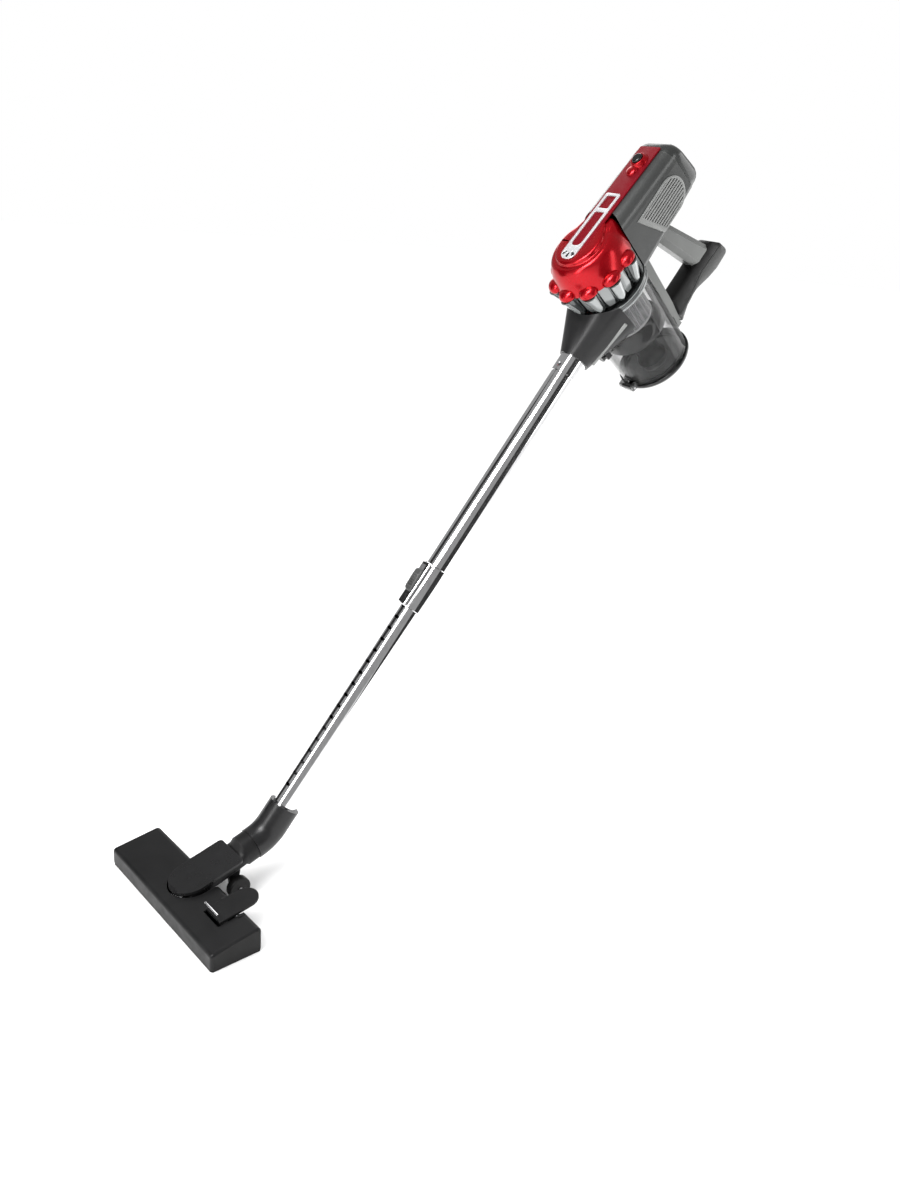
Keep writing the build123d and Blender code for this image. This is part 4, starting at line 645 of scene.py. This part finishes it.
def make_cover_dome():
    """Stepped dome that runs up into the strip on its upper side."""
    plain = [(0, -38), (22, -38), (27, -37.8), (31, -37.2), (33.4, -35.6), (34.2, -32.6), (36.4, -31.6),
             (40, -31), (44, -27.4), (48, -20), (50.8, -12), (52.6, -4), (53.4, 1), (53.4, 3)]
    swept = [(0, -38), (22, -38), (29, -38), (36, -37.9), (39.4, -37.2), (40.4, -34.8), (42.6, -34.2),
             (46, -34), (49.6, -32), (52, -27), (53.2, -18), (53.6, -8), (53.6, 0), (53.6, 3)]
    plain, swept = smooth_line(plain), smooth_line(swept)
    turns = 144
    outer, inner = [], []
    for step in range(turns + 1):
        degrees = 360 * step / turns
        away = direction(degrees)
        off = min(abs(degrees - 90), abs(degrees - 450)) - 24
        share = max(0, min(1, 1 - off / 26))
        share = share * share * (3 - 2 * share)
        column, under = [], []
        for (r0, z0), (r1, z1) in zip(plain, swept):
            radius, height = r0 + (r1 - r0) * share, z0 + (z1 - z0) * share
            column.append((radius * away.x, radius * away.y, height))
            radius, height = max(0, r0 - 2.4), min(3, z0 + 2.2)
            under.append((radius * away.x, radius * away.y, height))
        outer.append(column)
        inner.append(under)
    bm = bmesh.new()
    shell(bm, outer, inner)
    bmesh.ops.remove_doubles(bm, verts=bm.verts, dist=0.01)
    inside = [face for face in bm.faces if not all(edge.is_manifold for edge in face.edges)
              and any(len(edge.link_faces) > 2 for edge in face.edges)]
    bmesh.ops.delete(bm, geom=inside, context="FACES_ONLY")
    piece = finish_piece(mesh_from(bm, "cover_dome"), "cover_dome", CROWN_FRAME, red, "hand_unit")
    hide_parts("red_cover")


def make_cover_lobes():
    """Hoods over the cones, leaning out at the cover's rim."""
    profile = [(0, -10.4), (3, -10), (5.6, -8.8), (7.8, -6.6), (9.2, -3.6), (9.8, -0.4), (9.4, 2.2), (8.6, 3),
               (7.6, 2), (7.4, -1), (5, -5.6), (0, -8)]
    bm = bmesh.new()
    for degrees in LOBE_ANGLES:
        away = direction(degrees)
        part = bmesh.new()
        lathe(part, smooth_line(profile, 3), 36, closed=False)
        turn = Matrix.Rotation(math.radians(degrees), 4, "Z")
        stretch = Matrix.Diagonal((1.15, 1.36, 0.82, 1))
        part.transform(Matrix.Translation((51.8 * away.x, 51.8 * away.y, 0)) @ turn @ stretch)
        mesh = bpy.data.meshes.new("lobe")
        part.to_mesh(mesh)
        part.free()
        bm.from_mesh(mesh)
        bpy.data.meshes.remove(mesh)
    finish_piece(mesh_from(bm, "cover_lobes"), "cover_lobes", CROWN_FRAME, red, "hand_unit", 50)


def make_cover_strip():
    """Long satin strip above the dome, and the raised surround of the power button on it."""
    bm = bmesh.new()
    outline = rounded([(-17.5, -12), (17.5, -12), (17.5, 156), (-17.5, 156)], [16, 16, 2.5, 2.5], 8)
    prism(bm, outline, -38.45, -36, 0.5)
    finish_piece(mesh_from(bm, "cover_strip"), "cover_strip", CROWN_FRAME, red_satin, "hand_unit")
    # the surround has a swelling on its floor side
    bm = bmesh.new()
    ring = [(12.6, -38.3), (12.2, -39.6), (10.9, -41.4), (9.8, -43.4), (8.9, -44), (7.9, -43.8), (7.4, -42.8),
            (7.4, -38.3)]
    lathe(bm, smooth_line(ring, 3), 64, centre=(0, 131))
    swell = [(8.4, -38.3), (7.9, -39.8), (6, -41.3), (3.2, -42.2), (0, -42.5)]
    lathe(bm, smooth_line(swell, 3), 48, closed=False, centre=(0, 116))
    finish_piece(mesh_from(bm, "button_surround"), "button_surround", CROWN_FRAME, red, "hand_unit")


def make_trim():
    """Silver loop with two windows, and three slits that fan out at its foot."""
    edge = rounded([(-12.5, -27), (12.5, -27), (12.5, 78), (-12.5, 78)], [13.5, 13.5, 3.4, 3.4], 8)
    small = rounded([(-8.4, 54), (8.4, 54), (8.4, 74), (-8.4, 74)], 2, 5)
    large = rounded([(-8.4, -6), (8.4, -6), (8.4, 48), (-8.4, 48)], [9, 9, 2, 2], 8)
    holes = []
    for degrees in (-132, -90, -48):
        away = direction(degrees)
        across = Vector((-away.y, away.x))
        middle = Vector((0, -10.5)) + away * 10.6
        corners = [middle + away * a * 3.6 + across * b * (1.9 + 0.5 * a) for a, b in
                   ((-1, -1), (1, -1), (1, 1), (-1, 1))]
        holes.append(rounded([tuple(corner) for corner in corners], 0.5, 3))
    mesh = plate("trim_loop", [edge, small, large, *holes], -40.1, -38, 0.45)
    piece = finish_piece(mesh, "trim_loop", CROWN_FRAME, silver, "hand_unit", 50)
    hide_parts("silver_trim")
    bm = bmesh.new()
    prism(bm, rounded([(-11.5, -26), (11.5, -26), (11.5, -12), (-11.5, -12)], [12, 12, 1, 1], 8),
          -38.7, -38.2, 0.1)
    finish_piece(mesh_from(bm, "slit_backing"), "slit_backing", CROWN_FRAME, gloss_black, "hand_unit")


# ---------------------------------------------------------------- cyclone
def make_cyclone():
    """Tapering cones round the core, lighter skins on and between them that are painted highlights standing in for
    the cones' reflections, and a plain wall behind.
    """
    bm = bmesh.new()
    lathe(bm, [(44.5, 3), (42.8, 22), (41.4, 41.6), (38.4, 41.6), (40, 3)], 112)
    for degrees in LOBE_ANGLES:
        away = direction(degrees)
        rings = []
        for step in range(15):
            t = step / 14
            ring = CONE_RING - CONE_LEAN * t
            radius = CONE_RADIUS - CONE_TAPER * t
            height = 3 + 36 * t
            if step > 10:
                turn = (step - 10) / 4 * math.pi / 2 * 0.94
                radius *= math.cos(turn)
                height = 3 + 36 * 10 / 14 + 12.4 * math.sin(turn)
                ring = CONE_RING - CONE_LEAN * (10 + math.sin(turn) * 4) / 14
            rings.append([(ring * away.x + radius * math.cos(2 * math.pi * k / 28),
                           ring * away.y + radius * math.sin(2 * math.pi * k / 28), height) for k in range(28)])
        loft(bm, rings)
    piece = finish_piece(mesh_from(bm, "cyclone_cones"), "cyclone_cones", CROWN_FRAME, smoke, "hand_unit",
                         40)
    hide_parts("cyclone_block")
    # painted highlights: lighter skins on the cones' fronts, round at the foot
    bm = bmesh.new()
    for degrees in LOBE_ANGLES:
        away = direction(degrees)
        outer, inner = [], []
        for step in range(13):
            t = step / 12
            half = 50 * (1 if t < 0.7 else math.sqrt(max(0.01, 1 - ((t - 0.7) / 0.3) ** 2)))
            ring = CONE_RING - CONE_LEAN * t * 0.92
            radius = CONE_RADIUS - CONE_TAPER * t * 0.92
            rows = ([], [])
            for side in range(13):
                ahead = direction(degrees + half * (side / 6 - 1))
                for grid, grow in zip(rows, (0.75, -0.4)):
                    grid.append((ring * away.x + (radius + grow) * ahead.x,
                                 ring * away.y + (radius + grow) * ahead.y, 4 + 30 * t))
            outer.append(rows[0])
            inner.append(rows[1])
        shell(bm, outer, inner)
    # painted highlights: lighter skins on the core between the cones
    for degrees in [angle + CONE_STEP / 2 for angle in LOBE_ANGLES[:-1]]:
        outer, inner = [], []
        for step in range(9):
            t = step / 8
            half = 7.6 * (1 if t < 0.8 else 1 - 0.35 * (t - 0.8) / 0.2)
            rows = ([], [])
            for side in range(7):
                ahead = direction(degrees + half * (side / 3 - 1))
                for grid, radius in zip(rows, (48.6 - 3.6 * t, 43.6 - 2.6 * t)):
                    grid.append((radius * ahead.x, radius * ahead.y, 4 + 35 * t))
            outer.append(rows[0])
            inner.append(rows[1])
        shell(bm, outer, inner)
    finish_piece(mesh_from(bm, "cyclone_highlight_faces"), "cyclone_highlight_faces", CROWN_FRAME, cone_highlight, "hand_unit",
                 40)
    # plain wall behind
    wall = smooth_line([(52.4, 3.2), (53.2, 5), (53.2, 20), (53.2, 36), (52.6, 41.8)], 3)
    outer, inner = [], []
    for step in range(41):
        ahead = direction(33 + 114 * step / 40)
        outer.append([(radius * ahead.x, radius * ahead.y, height) for radius, height in wall])
        inner.append([(50.4 * ahead.x, 50.4 * ahead.y, height) for radius, height in wall])
    bm = bmesh.new()
    shell(bm, outer, inner)
    finish_piece(mesh_from(bm, "cyclone_wall"), "cyclone_wall", CROWN_FRAME, smoke, "hand_unit")


def make_cup():
    """Collar, clear cup wall, and the ears of the lid's hinge and latch."""
    bm = bmesh.new()
    collar = [(35, 45.5), (48, 45), (48, 42.2), (52.6, 42.2), (54, 43.6), (54, 48.4), (52.4, 50), (35, 50)]
    lathe(bm, rounded(collar, 0.8, 4), 128)
    piece = finish_piece(mesh_from(bm, "collar_ring"), "collar_ring", CROWN_FRAME, smoke, "hand_unit")
    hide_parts("cup_collar")
    # painted highlights: thin lighter rings at the collar's upper and lower edges
    bm = bmesh.new()
    lathe(bm, rounded([(53.6, 48.2), (54.6, 48.2), (54.6, 50.6), (53.6, 50.6)], 0.4, 3), 128)
    lathe(bm, rounded([(53.6, 42), (54.3, 42), (54.3, 43), (53.6, 43)], 0.3, 3), 128)
    finish_piece(mesh_from(bm, "collar_highlight_rings"), "collar_highlight_rings", CROWN_FRAME, cone_highlight, "hand_unit")
    # the wall tapers to a rolled foot
    outer = [(52.5, 50.4), (52.2, 66), (51.6, 96), (50.8, 130), (50, 165), (49.7, 180), (49.9, 185.8)]
    inner = [(47.8, 185.8), (48.2, 180), (48.5, 165), (49.3, 130), (50.1, 96), (50.7, 66), (51, 50.4)]
    bm = bmesh.new()
    lathe(bm, smooth_line(outer, 4) + smooth_line(inner, 4), 144)
    piece = finish_piece(mesh_from(bm, "cup_wall"), "cup_wall", CROWN_FRAME, clear_smoke, "hand_unit")
    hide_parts("dust_cup")
    # hinge ears on the nozzle side and latch ears on the left
    bm = bmesh.new()
    for side in (-1, 1):
        ear = rounded([(-48.5, 178.5), (-58.5, 178.5), (-59.5, 186), (-52, 186.4), (-48.5, 186)], 2.2, 4)
        loft(bm, [[(x, y, z) for y, z in ear] for x in (side * 11 - 2.4, side * 11 + 2.4)])
        ear = rounded([(48.6, 166), (59, 169.6), (59, 174.4), (48.6, 178)], 2, 4)
        loft(bm, [[(x, side * y, z) for x, z in ear] for y in (5.4, 7.2)])
    finish_piece(mesh_from(bm, "cup_ears"), "cup_ears", CROWN_FRAME, clear_part, "hand_unit",
                 30)


def make_filter():
    """Faceted mesh filter with upright ribs, the skirt under it and the funnel of fine dust."""
    bm = bmesh.new()
    sides = 24
    for low, high, radius in ((50.4, 55, 35.6), (103, 106.4, 35.2)):
        lathe(bm, rounded([(33, low), (radius, low), (radius, high), (33, high)], 0.5, 2), sides * 4)
    for side in range(sides):
        ahead = direction(360 * side / sides)
        across = Vector((-ahead.y, ahead.x))
        box = [ahead * 33.4 + across * -0.8, ahead * 35.2 + across * -0.6,
               ahead * 35.2 + across * 0.6, ahead * 33.4 + across * 0.8]
        loft(bm, [[(p.x, p.y, z) for p in box] for z in (54.6, 103.4)])
        for part in (-1, 0, 1):
            slim = direction(360 * (side + 0.5 + part * 0.25) / sides)
            wide = Vector((-slim.y, slim.x))
            box = [slim * 33.6 + wide * -0.25, slim * 34.6 + wide * -0.2, slim * 34.6 + wide * 0.2,
                   slim * 33.6 + wide * 0.25]
            loft(bm, [[(p.x, p.y, z) for p in box] for z in (54.6, 103.4)])
    finish_piece(mesh_from(bm, "filter_cage"), "filter_cage", CROWN_FRAME, cage_grey, "hand_unit",
                 30)
    bm = bmesh.new()
    lathe(bm, [(33.8, 51), (33.8, 105.6), (33.2, 105.6), (33.2, 51)], 96)
    piece = finish_piece(mesh_from(bm, "filter_screen"), "filter_screen", CROWN_FRAME, mesh_cloth,
                         "hand_unit")
    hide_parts("mesh_filter")
    bm = bmesh.new()
    outer = [(35.8, 106), (37, 109), (40.4, 114.5), (43, 120), (44, 124), (44.2, 128.6), (43.4, 129.4)]
    inner = [(42.2, 129), (42, 124.5), (40.6, 119.5), (37.4, 113.8), (33.4, 110.5), (30, 106)]
    lathe(bm, smooth_line(outer, 4) + smooth_line(inner, 3), 128)
    piece = finish_piece(mesh_from(bm, "filter_skirt"), "filter_skirt", CROWN_FRAME, gloss_black, "hand_unit")
    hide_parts("shroud_skirt")
    bm = bmesh.new()
    outer = [(24, 110), (24, 128), (22.5, 140), (18.5, 156), (16.4, 168), (17, 176), (20.4, 184)]
    inner = [(18.6, 184), (15.2, 176.6), (14.6, 168), (16.8, 155), (20.6, 140), (22, 128), (22, 110)]
    lathe(bm, smooth_line(outer, 4) + smooth_line(inner, 4), 96)
    piece = finish_piece(mesh_from(bm, "dust_funnel"), "dust_funnel", CROWN_FRAME, black, "hand_unit")
    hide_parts("fine_dust_tube")


def make_lid():
    """Black rim with its hinge knuckle and latch lip, and the ribbed pane in it."""
    bm = bmesh.new()
    rim = [(41.5, 188.6), (45.6, 188.6), (46, 186.9), (51, 186.9), (52, 188), (52, 191), (49, 195),
           (43, 195.2), (41.5, 193.6)]
    lathe(bm, rounded(rim, 1.1, 4), 144)
    knuckle = rounded([(-49, 192.6), (-49, 188), (-52.4, 187.6), (-54.4, 180), (-58.4, 179.6), (-59.4, 183.6),
                       (-58, 190.6)], 1.6, 4)
    loft(bm, [[(x, y, z) for y, z in knuckle] for x in (-7.6, 7.6)])
    lip = rounded([(50, 187.2), (53.9, 187.2), (53.9, 190.9), (50, 190.9)], 0.6, 3)
    loft(bm, [[(x, y, z) for x, z in lip] for y in (-4.8, 4.8)])
    piece = finish_piece(mesh_from(bm, "lid_rim"), "lid_rim", CROWN_FRAME, gloss_black, "cup_lid")
    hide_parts("cup_lid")
    bm = bmesh.new()
    pane = [(0, 190), (14, 190), (15, 189.2), (22, 189.2), (23, 190), (30, 190), (31, 189), (41.8, 189.6),
            (41.8, 192.4), (31, 192.2), (30, 193.4), (23, 193.4), (22, 192.2), (15, 192.2), (14, 193.4),
            (0, 193.4)]
    lathe(bm, pane, 128, closed=False)
    finish_piece(mesh_from(bm, "lid_pane"), "lid_pane", CROWN_FRAME, pane_smoke, "cup_lid")


make_cover_dome()
make_cover_lobes()
make_cover_strip()
make_trim()
make_cyclone()
make_cup()
make_filter()
make_lid()


# ---------------------------------------------------------------- handle and housing
def make_handle():
    """Soft front of the grip, and the harder shell at its back."""
    front = rounded([(81, 903.6), (81, 1001), (102, 1014), (101.5, 1007), (99, 965), (107, 926), (110, 897.6)],
                    [3, 10, 2, 12, 30, 30, 3], 6)
    piece = finish_piece(plate("grip_front", [front], -13, 13, 4.2), "grip_front", PROFILE, rubber,
                         "hand_unit", 50)
    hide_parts("handle_grip")
    back = rounded([(101, 1013), (120.5, 1016.5), (122, 987), (118.4, 968), (110.8, 943), (112.4, 922),
                    (122.4, 897.4), (108.6, 897.4), (105.6, 926), (97.8, 965), (100, 1006)],
                   [3, 9, 20, 30, 30, 25, 3, 2, 30, 30, 10], 6)
    piece = finish_piece(plate("grip_shell", [back], -12.7, 12.7, 4.4), "grip_shell", PROFILE, grip_grey,
                         "hand_unit", 50)
    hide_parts("grip_back")


def make_end_cap():
    """Swelling end of the housing, higher at its underside, with its outlet and two screws."""
    seam, middle, top, depth, rise = 1008.3, -53, -87, 68, 6.5
    outline = rounded([(-35, top), (35, top), (35, top + depth), (-35, top + depth)], [24, 24, 13, 13], 9)
    sections = []
    for inset, up in ((0, seam), (0, 1011), (0.3, 1014.5), (1.2, 1018), (3, 1021.2), (5.8, 1023.8),
                      (9.4, 1025.6), (13.6, 1026.4), (14.4, 1026.4)):
        shrink_x, shrink_y = 1 - inset / 35, 1 - inset / 34
        section = []
        for x, y in outline:
            out = middle + (y - middle) * shrink_y
            section.append((x * shrink_x, out, up + (up - seam) / 18 * rise * (out - top) / depth))
        sections.append(section)
    bm = bmesh.new()
    loft(bm, sections)
    piece = finish_piece(mesh_from(bm, "housing_end"), "housing_end", WAND, gunmetal_dark, "hand_unit",
                         40)
    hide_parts("end_cap")
    up_face = (B + rise / depth * W).normalized()
    face = frame_matrix(ELBOW + (middle * B + (1026.4 + rise / 2) * W) * MM, S, up_face, S.cross(up_face))
    bm = bmesh.new()
    prism(bm, round_box(42, 34, 6), -0.6, 0.25, 0.2)
    finish_piece(mesh_from(bm, "exhaust_bed"), "exhaust_bed", face, black, "hand_unit")
    bm = bmesh.new()
    for step in range(8):
        prism(bm, round_box(38, 2.3, 1, (0, -14 + 4 * step)), 0.1, 1.3, 0.4)
    for side in (-1, 1):
        lathe(bm, [(0, 1.2), (1.6, 1.2), (2.5, 0.7), (2.7, -0.4), (0, -0.4)], 32, closed=False,
              centre=(side * 18, 22))
    piece = finish_piece(mesh_from(bm, "exhaust_slats"), "exhaust_slats", face, gunmetal, "hand_unit")
    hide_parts("cap_screws")


def make_vents():
    """Arched frame and upright slats on each side of the housing, over a dark bed."""
    middle, springing, reach = -45.5, 975.6, 21.2
    turns = [direction(degrees) for degrees in range(0, 181, 6)]
    frame_edge = [(middle + 24 * turn.x, 976 + 24 * turn.y) for turn in turns] + [(-69.5, 917), (-21.5, 939)]
    hole = [(middle + reach * turn.x, springing + reach * turn.y) for turn in turns]
    hole += [(-66.7, 926), (-24.3, 945.4)]
    for name, side in (("left", -1), ("right", 1)):
        low, high = (33.2, 36.9) if side > 0 else (-36.9, -33.2)
        piece = finish_piece(plate("vent_frame_" + name, [frame_edge, hole], low, high, 0.6),
                             "vent_frame_" + name, PROFILE, vent_grey, "hand_unit", 50)
        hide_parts("vent_grille_" + name)
        bm = bmesh.new()
        for step in range(10):
            across = -64.6 + 4.25 * step
            head = springing + math.sqrt(max(0, reach ** 2 - (across - middle) ** 2))
            foot = 926 + (across + 66.7) * 0.4575
            section = rounded([(across - 1.5, side * 33), (across + 1.5, side * 33),
                               (across + 1.1, side * 36.5), (across - 1.3, side * 36.5)], 0.4, 2)
            loft(bm, [[(x, up, z) for x, z in section] for up in (foot - 1, head + 1)])
        finish_piece(mesh_from(bm, "vent_slats_" + name), "vent_slats_" + name, PROFILE, vent_grey,
                     "hand_unit",
                     40)
        bm = bmesh.new()
        prism(bm, hole, side * 33.4 - 0.3, side * 33.4 + 0.3)
        finish_piece(mesh_from(bm, "vent_dark_" + name), "vent_dark_" + name, PROFILE, black, "hand_unit")


def make_slider():
    """Sliding lock on the upper side of the telescope, with finger ribs."""
    base = 20.5
    bm = bmesh.new()
    loft(bm, [[(x, -y, up) for x, y in round_box(2 * half, out - base, 2, (0, (out + base) / 2), 4)]
              for up, half, out in ((373.6, 5.6, 23.5), (374.6, 6.6, 26.4), (377, 7, 27.6), (396, 7, 28.4),
                                    (403, 7, 28), (405.2, 6.4, 26.8), (406, 5.4, 24))])
    for step in range(6):
        up = 380 + 3.4 * step
        rib = rounded([(-27.4, up - 1), (-29.2, up - 0.3), (-29.2, up + 0.3), (-27.4, up + 1)], 0.3, 2)
        loft(bm, [[(x, y, z) for y, z in rib] for x in (-5.4, 5.4)])
    piece = finish_piece(mesh_from(bm, "slider_cap"), "slider_cap", WAND, grip_grey, "lock_slider",
                         40)
    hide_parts("lock_slider")


def make_pedal_highlight_bar():
    """Bright steel bar on the head just in front of the pedal: a painted highlight, standing in for the light
    caught by the pedal's front face.
    """
    low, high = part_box("pedal")
    front = low[1] - 0.0021
    centre = (low[0] + high[0]) / 2
    hit, place = nodes["head_housing"].ray_cast(Vector((centre, front, 0.2)), -UP)[:2]
    top = place.z / MM if hit else high[2] / MM
    bm = bmesh.new()
    prism(bm, round_box((high[0] - low[0]) / MM - 3, 2.6, 1, (centre / MM, front / MM)),
          top - 0.6, top + 1.6, 0.5)
    finish_piece(mesh_from(bm, "pedal_highlight_bar"), "pedal_highlight_bar", HEAD, steel_bright, "floor_head")


make_handle()
make_end_cap()
make_vents()
make_slider()
make_pedal_highlight_bar()
nodes["connector_trims"].data.materials[0] = vent_grey
nodes["neck_cover"].data.materials[0] = tongue_satin
nodes["elbow"].data.materials[0] = tongue_satin
